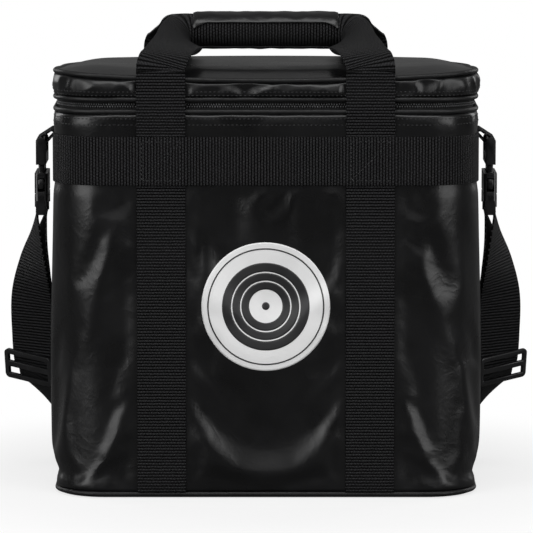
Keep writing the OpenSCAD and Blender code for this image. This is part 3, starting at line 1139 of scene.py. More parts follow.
@dataclass
class Cover:
    """The coated cover of the case's wall, and the padding that follows it."""

    case: Case
    drape: Drape = field(default_factory=lambda: Drape(inward=0.0028))
    pitch: float = 0.0055
    skin: float = 0.0012
    foam: float = 0.005
    low_seam: float = 0.001
    rim_seam: float = 0.011
    seam_run: float = 0.009
    pucker: float = 0.0062

    def clear(self, place: Vector) -> float:
        """Distance from the nearest seam, strap or band.

        Args:
            place: a place on the wall.

        Returns:
            The distance, which is negative under one of them.
        """
        case = self.case
        from_band = max(case.band_low - place.z, place.z - case.band_high)
        return min(place.z - case.wall_low - self.low_seam, case.wall_high - place.z - self.rim_seam,
                   from_band, case.from_strap(place))

    def build(self) -> bpy.types.Object:
        """Make the wall's cover, and the foam behind it.

        Returns:
            The cover.
        """
        plan, case = self.case.plan, self.case
        height = case.wall_high - case.wall_low

        def bend(u: float, v: float) -> Vector:
            """Place one point of the flat wall."""
            return plan.at(u * plan.length)[0] + Vector((0, 0, case.wall_low + v * height))

        shape = bent_sheet(plan.steps(self.pitch), round(height / self.pitch), bend)
        clear = [self.clear(vert.co) for vert in shape.verts]
        shape.normal_update()
        outs = [Vector((vert.normal.x, vert.normal.y, 0)).normalized() for vert in shape.verts]
        moves = self.drape.settle(shape, [1.0 if away <= self.low_seam / 2 else 0.0 for away in clear])
        for vert, out, move, away in zip(shape.verts, outs, moves, clear):
            vert.co += self.drape.kept(move, out, ease(away / self.seam_run)) + out * self._pucker(vert.co)
        self._padding(shape, outs)
        piece = finish_piece("cover_wall", shape, COVER, ["body_cover"])
        smooth = piece.modifiers.new("Smooth", "SUBSURF")
        smooth.levels = smooth.render_levels = 1
        apply_modifiers(piece)
        thicken(piece, self.skin, -1.0)
        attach(piece, "case")
        return piece

    def _pucker(self, place: Vector) -> float:
        """Find the puckers of the short strip between the rim's seam and the band.

        Args:
            place: a place on the wall.

        Returns:
            How far the cloth stands out there.
        """
        case = self.case
        share = (place.z - case.band_high) / (case.wall_high - case.band_high)
        if not 0 < share < 1 or case.from_strap(place) < 0.005:
            return 0.0
        wave = abs(noise.noise(Vector((place.x * 46, place.y * 46, place.z * 16))))
        return self.pucker * max(0.0, 0.34 - wave) * math.sin(math.pi * share)

    def _padding(self, wall: bmesh.types.BMesh, outs: Sequence[Vector], gap: float = 0.0002) -> None:
        """Make the foam of the wall, whose outer face lies in the cover's folds, and of the floor.

        Args:
            wall: the cover's outer face.
            outs: the outward direction at each of its points.
            gap: what is left free between pieces.
        """
        low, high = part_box("body_foam")
        inset = self.case.plan.half_w - high.x
        floor = low.z + self.foam
        shape = wall.copy()
        shape.verts.index_update()
        for vert, out in zip(shape.verts, outs):
            vert.co -= out * (inset + gap / 2)
        away = [vert for vert in shape.verts if vert.co.z < floor - self.pitch or vert.co.z > high.z]
        bmesh.ops.delete(shape, geom=away, context="VERTS")
        for vert in shape.verts:
            vert.co.z = max(vert.co.z, floor + gap)
        piece = finish_piece("wall_padding", shape, FOAM, ["body_foam"])
        thicken(piece, self.foam - self.drape.inward - gap, -1.0)
        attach(piece, "case")
        slab = bmesh.new()
        slab.from_mesh(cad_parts["body_foam"].data)
        bmesh.ops.remove_doubles(slab, verts=slab.verts, dist=NODE_POINT_GAP)
        cut = bmesh.ops.bisect_plane(slab, geom=[*slab.verts, *slab.edges, *slab.faces],
                                     plane_co=(0, 0, floor), plane_no=(0, 0, 1), clear_outer=True)["geom_cut"]
        edges = [item for item in cut if isinstance(item, bmesh.types.BMEdge)]
        bmesh.ops.holes_fill(slab, edges=edges, sides=0)
        piece = finish_piece("floor_padding", slab, FOAM, ["body_foam"])
        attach(piece, "case")


@dataclass
class SoftPanels:
    """The linings of the case and the lid, the coated underside, and the cords along the case's seams."""

    case: Case
    skin: float = 0.0005
    slack: float = 0.0011
    pitch: float = 0.006
    rows_in: int = 16

    def build(self) -> None:
        """Make the linings, the underside and the cords."""
        self._tray("body_lining", "case_lining", "case", False)
        self._tray("lid_lining", "lid_inside", "lid", True)
        self._underside()
        for node, name, body in (("base_piping", "base_cord", "case"), ("rim_piping", "rim_cord", "case"),
                                 ("lid_edge_piping", "lid_edge_cord", "lid")):
            cord_ring(self.case, node, name, body)

    def _fold(self, place: Vector) -> float:
        """Find how far loose lining stands off what it covers at a place."""
        return self.slack * max(0.0, 0.5 + noise.noise(place * 22) + 0.4 * noise.noise(place * 55))

    def _tray(self, node: str, name: str, body: str, closed_above: bool) -> None:
        """Make a lining: a wall round the inside, and one flat end.

        Args:
            node: the frame node that it stands for.
            name: the piece's name.
            body: the body that it rides on.
            closed_above: whether its flat end is at the top.
        """
        plan = self.case.plan
        low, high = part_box(node)
        inset = plan.half_w - high.x + self.skin / 2
        rim, end = (low.z, high.z - self.skin / 2) if closed_above else (high.z, low.z + self.skin / 2)
        side_rows = max(4, round(abs(rim - end) / 0.007))
        rows = side_rows + self.rows_in
        bend_at = side_rows / rows

        def bend(u: float, v: float) -> Vector:
            """Place one point: up or down the wall, then in to the middle of the flat end.

            Args:
                u: share of the way round the case.
                v: share of the way from the open rim to the middle of the flat end.

            Returns:
                The point.
            """
            flat, out = plan.at(u * plan.length)
            edge = flat - out * inset
            if v <= bend_at:
                share = v / bend_at
                place = edge + Vector((0, 0, rim + (end - rim) * share))
                return place - out * self._fold(place) * math.sin(math.pi * share)
            share = (v - bend_at) / (1 - bend_at)
            place = edge * (1 - share) + Vector((0, 0, end))
            rise = self._fold(place) * math.sin(math.pi * min(0.5, share * 2))
            return place + Vector((0, 0, -rise if closed_above else rise))

        shape = bent_sheet(plan.steps(self.pitch), rows, bend)
        piece = finish_piece(name, shape, LINING, [node])
        thicken(piece, self.skin)
        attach(piece, body)

    def _underside(self) -> None:
        """Make the coated panel under the case, which lies flat but for slight dimples."""
        plan = self.case.plan
        low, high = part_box("bottom_panel")
        inset = plan.half_w - high.x
        skin = high.z - low.z
        spare = 0.0002

        def bend(u: float, v: float) -> Vector:
            """Place one point, from the edge in to the middle.

            Args:
                u: share of the way round the case.
                v: share of the way in to the middle.

            Returns:
                The point.
            """
            flat, out = plan.at(u * plan.length)
            place = (flat - out * inset) * (1 - v)
            dimple = spare * max(0.0, noise.noise(place * 30)) * math.sin(math.pi * min(0.5, v * 3))
            return place + Vector((0, 0, low.z + skin / 2 + dimple))

        piece = finish_piece("underside", bent_sheet(plan.steps(self.pitch), 24, bend), COVER,
                             ["bottom_panel"])
        thicken(piece, skin - spare)
        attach(piece, "case")


@dataclass
class Emblem:
    """A plain printed disc with a record drawn on it, in place of any lettering."""

    wall: bpy.types.Object
    rings: int = 40
    around: int = 120
    lift: float = 0.0002
    border: float = 0.0059
    border_w: float = 0.0011
    lines: Sequence[tuple[float, float]] = ((0.54, 0.68), (0.40, 0.52), (0.26, 0.38), (0.0, 0.06))

    def __post_init__(self) -> None:
        """Index the wall, so that the print can be laid on its folds."""
        self.tree = surface_tree(self.wall)

    def _disc(self, name: str, finish: Finish, inner: float, outer: float, lift: float,
              replaces: Sequence[str]) -> None:
        """Lay one printed ring or disc on the cloth.

        Args:
            name: the piece's name.
            finish: its finish.
            inner: its inner radius, or 0.
            outer: its outer radius.
            lift: how far it stands off the cloth.
            replaces: the frame nodes that it stands for.
        """
        low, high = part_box("emblem_disc")
        middle = (low + high) / 2
        shape = bmesh.new()
        count = max(2, round(self.rings * (outer - inner) * 2 / (high.x - low.x)))
        bmesh.ops.create_circle(shape, cap_ends=False, segments=self.around, radius=outer)
        edges = list(shape.edges)
        for k in range(1, count + 1):
            radius = outer + (inner - outer) * k / count
            made = bmesh.ops.extrude_edge_only(shape, edges=edges)["geom"]
            edges = [item for item in made if isinstance(item, bmesh.types.BMEdge)]
            for vert in (item for item in made if isinstance(item, bmesh.types.BMVert)):
                vert.co = vert.co.normalized() * radius
        bmesh.ops.remove_doubles(shape, verts=shape.verts, dist=POINT_GAP)
        for vert in shape.verts:
            place = Vector((middle.x + vert.co.x, -1.0, middle.z + vert.co.y))
            vert.co = self.tree.ray_cast(place, Vector((0, 1, 0)))[0] - Vector((0, lift, 0))
        bmesh.ops.recalc_face_normals(shape, faces=shape.faces)
        if sum(face.normal.y for face in shape.faces) > 0:
            bmesh.ops.reverse_faces(shape, faces=shape.faces)
        piece = finish_piece(name, shape, finish, replaces)
        thicken(piece, lift * 1.5, -1.0)
        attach(piece, "case")

    def build(self) -> None:
        """Print the disc, its border line and the record."""
        low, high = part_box("emblem_disc")
        radius = (high.x - low.x) / 2
        self._disc("emblem_print", PRINT_WHITE, 0.0, radius, self.lift, ["emblem_disc"])
        rings = [(radius - self.border, radius - self.border + self.border_w)]
        rings += [(radius * inner, radius * outer) for inner, outer in self.lines]
        for i, (inner, outer) in enumerate(rings):
            self._disc(f"emblem_line_{i + 1}", PRINT_BLACK, inner, outer, self.lift * 2,
                       ["emblem_rings"])


# ---------- band and upright straps ----------


@dataclass
class Band:
    """The webbing band round the case and the upright straps that it crosses."""

    case: Case
    gap: float = 0.0001
    ramp: float = 0.005
    margin: float = 0.004

    def stand_off(self, place: Vector) -> float:
        """Find how far the band steps out to pass over an upright strap.

        Args:
            place: a place on the outline.

        Returns:
            The step.
        """
        if abs(place.y) < self.case.plan.half_d - 0.001:
            return 0.0
        return ease(1 - self.case.from_strap(place) / self.ramp) * (self.case.web_t + self.gap)

    def build(self) -> None:
        """Make the band, the four straps and the box stitches where they cross."""
        case, plan = self.case, self.case.plan
        height = case.band_high - case.band_low

        def bend(u: float, v: float) -> Vector:
            """Place one point of the band."""
            flat, out = plan.at(u * plan.length)
            away = self.gap + case.web_t / 2 + self.stand_off(flat)
            return flat + out * away + Vector((0, 0, case.band_low + v * height))

        shape = bent_sheet(plan.steps(0.002), 8, bend, lambda u, v: (v * height, u * plan.length))
        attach(webbing_piece("webbing_band", shape, case.web_t, ["body_band"]), "case")
        for face in Face:
            for hand in Hand:
                self._upright(f"{face.word}_webbing_{hand.word}", f"upright_strap_{face.word}_{hand.word}")
        self._box_stitches()

    def _upright(self, node: str, name: str) -> None:
        """Make one upright strap.

        Args:
            node: the frame node that it stands for.
            name: the piece's name.
        """
        low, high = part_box(node)
        middle = (low + high) * 500
        route = [(middle.x, middle.y, low.z * 1000 + (high.z - low.z) * 1000 * k / 12, 1, 0, 0, 0, 0)
                 for k in range(13)]
        Strip(route, self.case.web_w, self.case.web_t, steps=2).build(name, [node], "case")

    def _box_stitches(self) -> None:
        """Sew a box with one diagonal where the band passes each strap."""
        sewing = Stitching()
        case = self.case
        half = case.web_w / 2 - self.margin
        for face in Face:
            y = face.value * (case.plan.half_d + 3 * self.gap + 2 * case.web_t)
            out = Vector((0, face.value, 0))
            for hand in Hand:
                x0, x1 = hand.value * case.strap_x - half, hand.value * case.strap_x + half
                z0, z1 = case.band_low + self.margin, case.band_high - self.margin
                corners = [Vector((x, y, z)) for x, z in ((x0, z0), (x1, z0), (x1, z1), (x0, z1))]
                for i in range(4):
                    sewing.line(corners[i], corners[(i + 1) % 4], out)
                sewing.line(corners[0], corners[2], out)
        sewing.build("box_stitches", "case")


# ---------- lid ----------


@dataclass
class Lid:
    """The padded lid: a crowned top, a soft skirt and its stitching."""

    case: Case
    drape: Drape = field(default_factory=lambda: Drape(slack=0.03, air=0.2, bending=0.7, outward=0.0065))
    skin: float = 0.0012
    crown_run: float = 0.036
    seam_run: float = 0.012
    front_rise: float = 0.0064
    rear_droop: float = 0.003
    pucker: float = 0.0062
    broad: float = 0.0026
    swell: float = 0.0014

    def lift(self, place: Vector) -> float:
        """Find how far the soft lid's edge rises at the front corners and droops at the rear ones.

        Args:
            place: a place on the lid's edge.

        Returns:
            The rise, which is negative where it droops.
        """
        front = ease(0.5 - place.y / 0.2)
        corner = (place.x / self.case.plan.half_w) ** 2
        return corner * (self.front_rise * front - self.rear_droop * (1 - front))

    def build(self, wall: bpy.types.Object) -> None:
        """Make the top, the skirt, the cord and the seams.

        Args:
            wall: the case's cover, which two of the rows are sewn in.
        """
        self._top()
        side = self._skirt()
        cord_ring(self.case, "lid_piping", "lid_top_cord", "lid", self.lift)
        self._seams(side, wall)

    def _top(self) -> None:
        """Lay the padded top panel as one soft sheet."""
        low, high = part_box("lid_panel")
        rise = high.z - low.z - self.skin
        inset = self.case.plan.half_w - high.x

        def bend(u: float, v: float) -> Vector:
            """Place one point of the crowned top.

            Args:
                u: share of the way from left to right.
                v: share of the way from front to rear.

            Returns:
                The point.
            """
            flat = self._on_plan(2 * u - 1, 2 * v - 1, inset)
            run = min(self._edge_distance(flat, inset) / self.crown_run, 1.0)
            flat.z = low.z + self.skin + rise * math.sin(run * math.pi / 2) + self.lift(flat)
            return flat

        shape = bent_sheet(88, 57, bend)
        edges = [self._edge_distance(vert.co, inset) for vert in shape.verts]
        moves = self.drape.settle(shape, [1.0 if edge < 0.001 else 0.0 for edge in edges])
        shape.normal_update()
        outs = [vert.normal.copy() for vert in shape.verts]
        for vert, out, move, edge in zip(shape.verts, outs, moves, edges):
            vert.co += self.drape.kept(move, out, ease(edge / self.seam_run))
        self._padding(shape, inset)
        bmesh.ops.subdivide_edges(shape, edges=shape.edges, cuts=1, use_grid_fill=True, smooth=1.0)
        piece = finish_piece("lid_top", shape, COVER, ["lid_panel"])
        thicken(piece, self.skin, -1.0)
        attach(piece, "lid")

    def _padding(self, top: bmesh.types.BMesh, inset: float) -> None:
        """Make the foam that fills the lid below its top panel.

        Args:
            top: the top panel.
            inset: how far the panel lies in from the plan.
        """
        low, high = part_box("lid_foam")
        edge = self.case.plan.half_w - high.x
        under = top.copy()
        away = [vert for vert in under.verts if self._edge_distance(vert.co, inset) < edge - inset]
        bmesh.ops.delete(under, geom=away, context="VERTS")
        for vert in under.verts:
            vert.co.z -= self.skin + 0.0003
        made = bmesh.ops.extrude_face_region(under, geom=under.faces)["geom"]
        for vert in (item for item in made if isinstance(item, bmesh.types.BMVert)):
            vert.co.z = low.z
        bmesh.ops.recalc_face_normals(under, faces=under.faces)
        piece = finish_piece("lid_padding", under, FOAM, ["lid_foam"])
        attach(piece, "lid")

    def _on_plan(self, u: float, v: float, inset: float) -> Vector:
        """Bend a square's point onto the rounded plan.

        Args:
            u: from -1 at the left to 1 at the right.
            v: from -1 at the front to 1 at the rear.
            inset: how far the plan is moved in.

        Returns:
            The flat point.
        """
        plan = self.case.plan
        w, d, r = plan.half_w - inset, plan.half_d - inset, plan.corner - inset
        flat = Vector((u * w, v * d, 0))
        over = Vector((abs(flat.x) - (w - r), abs(flat.y) - (d - r), 0))
        if over.x > 0 and over.y > 0:
            size = max(over.x, over.y)
            fixed = over.normalized() * size
            flat.x = math.copysign(w - r + fixed.x, flat.x)
            flat.y = math.copysign(d - r + fixed.y, flat.y)
        return flat

    def _edge_distance(self, place: Vector, inset: float) -> float:
        """Measure how far in from the lid panel's edge a flat point lies.

        Args:
            place: the point.
            inset: how far the panel lies in from the plan.

        Returns:
            The distance.
        """
        plan = self.case.plan
        w, d, r = plan.half_w - inset, plan.half_d - inset, plan.corner - inset
        over_x, over_y = abs(place.x) - (w - r), abs(place.y) - (d - r)
        if over_x > 0 and over_y > 0:
            return max(0.0, r - math.hypot(over_x, over_y))
        return max(0.0, min(w - abs(place.x), d - abs(place.y)))

    def _skirt(self) -> bpy.types.Object:
        """Make the lid's side with its small puckers.

        Returns:
            The side.
        """
        case, plan = self.case, self.case.plan
        height = case.lid_high - case.lid_low

        def bend(u: float, v: float) -> Vector:
            """Place one point of the side.

            Args:
                u: share of the way round the case.
                v: share of the height.

            Returns:
                The point.
            """
            flat, out = plan.at(u * plan.length)
            lean = 0.006 * noise.noise(Vector((flat.x * 18, flat.y * 18, 8.0))) * v
            wave = noise.noise(Vector(((flat.x + lean) * 58, (flat.y + lean) * 58, v * 0.6 + 2.0)))
            broad = noise.noise(Vector((flat.x * 21, flat.y * 21, 5.0)))
            move = self.pucker * (0.34 - abs(wave)) + self.broad * broad + self.swell
            move *= math.sin(math.pi * v) ** 0.6
            if case.from_strap(flat) < 0.004:
                move = min(move, 0.0002)
            return flat + out * move + Vector((0, 0, case.lid_low + v * (height + self.lift(flat))))

        shape = bent_sheet(plan.steps(0.002), 8, bend)
        piece = finish_piece("lid_side", shape, COVER, ["lid_skirt"])
        thicken(piece, self.skin, -1.0)
        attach(piece, "lid")
        return piece

    def _seams(self, side: bpy.types.Object, wall: bpy.types.Object) -> None:
        """Sew two rows along the skirt and two below the zip.

        Args:
            side: the lid's skirt.
            wall: the case's wall.
        """
        plan, case = self.case.plan, self.case
        for body, name, cloth, heights in (
                ("lid", "lid_stitches", side, (case.lid_low + 0.0012, case.lid_low + 0.0042)),
                ("case", "rim_stitches", wall, (case.wall_high - 0.0036, case.wall_high - 0.0086))):
            tree = surface_tree(cloth)
            sewing = Stitching()
            steps, reach, proud = 540, 0.02, 0.0001
            for z in heights:
                points, facing = [], []
                for k in range(steps + 1):
                    flat, out = plan.at(plan.length * k / steps)
                    away = flat + out * reach + Vector((0, 0, z))
                    points.append((tree.ray_cast(away, -out)[0] or away - out * reach) + out * proud)
                    facing.append(out)
                sewing.row(points, facing)
            sewing.build(name, body)


# ---------- zip ----------


@dataclass
class Zip:
    """Tape and coil of the two halves, and the fabric strip at the rear."""

    case: Case
    tooth_pitch: float = 0.0021
    tooth_d: float = 0.0017
    tooth_inset: float = 0.0007
    tape_t: float = 0.0008
    fold: float = 0.008

    def build(self) -> None:
        """Make both halves and the rear hinge."""
        for half, body in (("lower", "case"), ("upper", "lid")):
            self._teeth(half, body)
            self._tape(half, body)
        self._hinge()
        for node in ("zip_slider", "zip_pull"):
            rounded_copy(node, PAINTED_METAL, node.split("_")[1], 0.0004)

    def _teeth(self, half: str, body: str) -> None:
        """Lay one row of the coil along the front and the sides.

        Args:
            half: lower or upper.
            body: the body that it rides on.
        """
        node = f"zip_coil_{half}"
        low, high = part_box(node)
        plan = self.case.plan
        inset = plan.half_w - high.x + self.tooth_inset
        z = (low.z + high.z) / 2
        side = 1.0 if half == "upper" else -1.0
        seed = bmesh.new()
        bmesh.ops.create_icosphere(seed, subdivisions=1, radius=0.5)
        size = (self.tooth_pitch * 0.62, self.tooth_d, (high.z - low.z) * 1.25)
        bmesh.ops.scale(seed, vec=size, verts=seed.verts)
        count = round(plan.length / self.tooth_pitch)
        places = []
        for k in range(count):
            flat, out = plan.at(plan.length * (k + 0.5 - side * 0.25) / count)
            if flat.y <= plan.straight_y:
                place = flat - out * inset + Vector((0, 0, z - side * 0.0002))
                places.append(set_down(Vector((-out.y, out.x, 0)), out, place))
        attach(finish_piece(f"zip_teeth_{half}", copies(seed, places), ZIP_COIL, [node]), body)

    def _tape(self, half: str, body: str) -> None:
        """Make the woven tape of one half.

        Args:
            half: lower or upper.
            body: the body that it rides on.
        """
        node = f"zip_tape_{half}"
        plan = self.case.plan
        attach(self._strip(f"woven_tape_{half}", [node], plan.rear_end, plan.length - plan.rear_end), body)

    def _strip(self, name: str, nodes: Sequence[str], start: float, end: float) -> bpy.types.Object:
        """Stand a strip of tape along part of the outline.

        Args:
            name: the piece's name.
            nodes: the frame nodes that it stands for, from the lowest.
            start: where it starts on the outline.
            end: where it ends.

        Returns:
            The strip.
        """
        low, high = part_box(nodes[0])
        inset = self.case.plan.half_w - high.x + self.tape_t / 2
        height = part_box(nodes[-1])[1].z - low.z

        def bend(u: float, v: float) -> Vector:
            """Place one point of the tape."""
            flat, out = self.case.plan.at(start + u * (end - start))
            return flat - out * inset + Vector((0, 0, low.z + v * height))

        shape = bent_sheet(round((end - start) / 0.003), 6, bend,
                           lambda u, v: (start + u * (end - start), v * height))
        piece = finish_piece(name, shape, ZIP_TAPE, nodes)
        thicken(piece, self.tape_t)
        return piece

    def _hinge(self) -> None:
        """Make the rear fabric strip where the lid hinges."""
        nodes = ["hinge_strip_lower", "hinge_strip_upper"]
        plan = self.case.plan
        piece = self._strip("rear_hinge_fabric", nodes, -plan.rear_end, plan.rear_end)
        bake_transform(piece)


# ---------- handles ----------


@dataclass
class Handles:
    """The two webbing handles and the wrap that holds them together."""

    case: Case
    crease_z: float = 352.0
    grip_z: float = 380.0
    grip_r: float = 13.0
    grip_l: float = 122.0
    fold: float = 0.012
    wrap_t: float = 0.0013

    def route(self) -> list[Station]:
        """Lay out the front handle.

        Returns:
            Its stations, from the band to the middle of the grip.
        """
        case = self.case
        leg_x = case.strap_x * 1000
        face = case.plan.half_d * 1000
        leg_y = face + 1.6 + case.web_t * 500
        lie = face + 0.1 + case.web_t * 500
        band = case.band_high * 1000
        crease, grip_z = self.crease_z, self.grip_z
        grip_y, grip_end = self.grip_r + 1, self.grip_l / 2 + 1
        return [
            (-leg_x, -lie, band + 0.2, 1, 0, 0, 0, 0), (-leg_x, -lie - 0.3, band + 6, 1, 0, 0, 0, 0),
            (-leg_x, -leg_y, band + 15, 1, 0, 0, 0, 0), (-leg_x, -leg_y, crease - 20, 1, 0, 0, 0, 0),
            (-leg_x, -leg_y, crease, 1, 0, 0, 0, 0), (-leg_x, 0.3 - leg_y, crease + 3, 1, 0, 0, 0, 0),
            (-leg_x + 0.6, 2 - leg_y, crease + 8, 1, 0, 0, 0, 0),
            (-leg_x + 4, 9 - leg_y, crease + 15, 1, 0, 0, 0, 0),
            (-leg_x + 9, 25 - leg_y, crease + 20, 0.99, -0.05, -0.1, 0, 0),
            (-leg_x + 14, 53 - leg_y, crease + 23, 0.94, -0.1, -0.28, 0, 0),
            (-grip_end - 8, -grip_y - 24, grip_z - 2.5, 0.78, -0.2, -0.55, 25, 0),
            (-grip_end - 4.5, -grip_y - 6, grip_z - 0.5, 0.38, -0.2, -0.92, 110, 0),
            (-grip_end, -grip_y - 0.3, grip_z, 0, 0, -1, 176, 0),
            (-grip_end + 15, -grip_y, grip_z, 0, 0, -1, 176, 0), (0, -grip_y, grip_z, 0, 0, -1, 176, 0)]

    def build(self) -> None:
        """Make both handles and the wrap."""
        half = self.route()
        whole = half + [mirrored(s) for s in reversed(half[:-1])]
        for face in Face:
            shape = Strip(whole, self.case.web_w, self.case.web_t, cells=14).sheet()
            if face is Face.REAR:
                mirror_sheet(shape, Vector((0, 1, 0)))
            parts = ("handle_leg_left", "handle_leg_right", "handle_loop")
            piece = webbing_piece(f"{face.word}_handle", shape, self.case.web_t,
                                  [f"{face.word}_{part}" for part in parts])
            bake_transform(piece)
        self._wrap()

    def _wrap(self) -> None:
        """Make the padded wrap: the rear part, and the front flap that the front handle carries."""
        low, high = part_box("grip_wrap")
        half_l = (high.x - low.x) / 2
        tall, deep = self.grip_r * 0.001 + 0.0022, self.grip_r * 0.001 + 0.0032

        def surface(share: float, turn: float) -> Vector:
            """Place a point of the wrap.

            Args:
                share: from -1 to 1 along the grip.
                turn: the turn round it, in radians.

            Returns:
                The point.
            """
            pucker = 0.0006 * noise.noise(Vector((share * 6, math.sin(turn) * 2, math.cos(turn) * 2)))
            pucker -= 0.0012 * (1 - min(1.0, (1 - abs(share)) / 0.05))
            return Vector((share * half_l, (deep + pucker) * math.cos(turn),
                           self.grip_z * 0.001 + (tall + pucker) * math.sin(turn)))

        def rear(u: float, v: float) -> Vector:
            """Place a point of the rear part."""
            return surface(2 * u - 1, math.radians(90 - 208 * v))

        def front(u: float, v: float) -> Vector:
            """Place a point of the flap, whose lower edge is an arch."""
            share = 2 * u - 1
            shoulder = math.sin(min(1.0, (1 - abs(share)) / 0.22) * math.pi / 2)
            return surface(share, math.radians(90.5 + (84 - 22 * shoulder) * v))

        for name, bend, rows, body, replaces in (("grip_cover", rear, 26, "rear_grip", ["grip_wrap"]),
                                                 ("grip_cover_flap", front, 10, "front_grip", ["grip_wrap"])):
            piece = finish_piece(name, bent_sheet(72, rows, bend), COVER, replaces)
            thicken(piece, self.wrap_t, 0.0, 0.0004)
            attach(piece, body)


# ---------- shoulder strap ----------


@dataclass
class ShoulderStrap:
    """The long strap with its loops, buckles and adjusters."""

    case: Case
    steps: int = 10
    bar_turn: float = 4.0
    turn_steps: int = 9
    doubled_steps: int = 51

    def route(self) -> list[Station]:
        """Lay out the left half of the strap.

        Returns:
            Its stations, from the buckle to the middle of the case's rear.
        """
        low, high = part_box("buckle_socket_left")
        x = (low.x + high.x) * 500
        bar = low.z * 1000 + 2.9
        face = self.case.plan.half_d * 1000
        rear_z = 50.0
        return [
            (x, 0, bar, 0, 1, 0, 0, 4), (x - 3, 1, bar - 22, -0.25, 0.97, 0, 0, 2.4),
            (x - 7, 3, bar - 47, -0.6, 0.8, 0, 0, 1.7), (x - 9.5, 6, bar - 77, -0.85, 0.5, 0, 0, 1.4),
            (x - 9, 9, rear_z + 70, -0.88, 0.45, 0.12, 0, 1.4),
            (x - 8, 15, rear_z + 36, -0.77, 0.46, 0.43, 0, 1.6),
            (x - 5, 36, rear_z + 16, -0.75, 0.15, 0.65, 0, 1.2),
            (x + 3, face - 36, rear_z + 6, -0.4, 0.1, 0.9, 0, 1.2),
            (x + 24, face + 3, rear_z + 3, -0.1, 0, 1, 0, 0.5), (x + 60, face + 9, rear_z + 1, 0, 0, 1, 0, 0),
            (x + 120, face + 5, rear_z, 0, 0, 1, 0, 0), (0, face + 4, rear_z, 0, 0, 1, 0, 0)]

    def build(self) -> None:
        """Make the strap, its doubled ends and its hardware."""
        half = self.route()
        whole = half + [mirrored(s) for s in reversed(half[:-1])]
        Strip(whole, self.case.web_w, self.case.web_t, steps=self.steps).build(
            "strap_webbing", ["shoulder_strap"], "strap")
        for hand in Hand:
            self._doubled(hand, half)
            self._loop(hand)
            for part in ("adjuster", "buckle_socket", "buckle_plug"):
                rounded_copy(f"{part}_{hand.word}", BUCKLE, "strap", 0.0009)
            for face in Face:
                rounded_copy(f"prong_{hand.word}_{face.word}", BUCKLE,
                             f"prong_{hand.word[0]}{face.word[0]}", 0.0006)

    def _webbing(self, name: str, node: str, hand: Hand, line: Sequence[tuple[Vector, Vector]],
                 cells: int, edge: float = 0.3) -> None:
        """Make webbing that lies along a line, and mirror it to the right hand.

        Args:
            name: the piece's name.
            node: the frame node that it stands for.
            hand: the side that it is for.
            line: places and directions across, drawn for the left.
            cells: steps across it.
            edge: radius of its edges, as a share of its thickness.
        """
        width, last = self.case.web_w, len(line) - 1
        walked = [0.0]
        for (before, _), (after, _) in zip(line, line[1:]):
            walked.append(walked[-1] + (after - before).length)

        def bend(u: float, v: float) -> Vector:
            """Place one point of the webbing."""
            place, across = line[round(v * last)]
            return place + across * ((u - 0.5) * width)

        shape = bent_sheet(cells, last, bend, lambda u, v: (u * width, walked[round(v * last)]))
        if hand is Hand.RIGHT:
            mirror_sheet(shape, Vector((1, 0, 0)))
        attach(webbing_piece(name, shape, self.case.web_t, [node], edge), "strap")

    def _doubled(self, hand: Hand, half: Sequence[Station]) -> None:
        """Make the strap's end that comes back down from the buckle's bar.

        Args:
            hand: the side that it is on.
            half: the strap's stations on the left.
        """
        x, y, z = half[0][:3]
        back = [(*station[:7], -station[7]) for station in half]
        frames = Strip(back, self.case.web_w, self.case.web_t, steps=self.steps).frames()
        line = []
        for k in range(self.turn_steps):
            angle = math.pi * k / self.turn_steps
            turned = Vector((math.cos(angle), 0, math.sin(angle))) * self.bar_turn
            line.append(((Vector((x, y, z + 0.4)) + turned) * 0.001, Vector((0, 1, 0))))
        line += [frame[:2] for frame in frames[:self.doubled_steps]]
        self._webbing(f"strap_end_{hand.word}", f"strap_return_{hand.word}", hand, line, 10)

    def _loop(self, hand: Hand) -> None:
        """Make the webbing loop that carries the buckle at the side.

        Args:
            hand: the side that it is on.
        """
        low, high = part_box("buckle_plug_left")
        bar = Vector(((low.x + high.x) / 2, 0, high.z - 0.0042))
        seat = Vector((-self.case.plan.half_w - 0.0051, 0, 0.2945))
        big, small = 0.0029 + self.case.web_t / 2, 0.0014 + self.case.web_t / 2
        between = bar - seat
        lean = math.atan2(between.z, between.x)
        swing = math.acos((big - small) / between.length)
        turns = [(bar, big, lean + swing - 2 * swing * k / 12) for k in range(13)]
        turns += [(seat, small, lean - swing - 2 * (math.pi - swing) * k / 8) for k in range(9)]
        line = [(middle + Vector((math.cos(turn), 0, math.sin(turn))) * radius, Vector((0, 1, 0)))
                for middle, radius, turn in turns]
        line.append(line[0])
        self._webbing(f"side_loop_{hand.word}", f"strap_loop_{hand.word}", hand, line, 8, 0.25)


# ---------- stage ----------


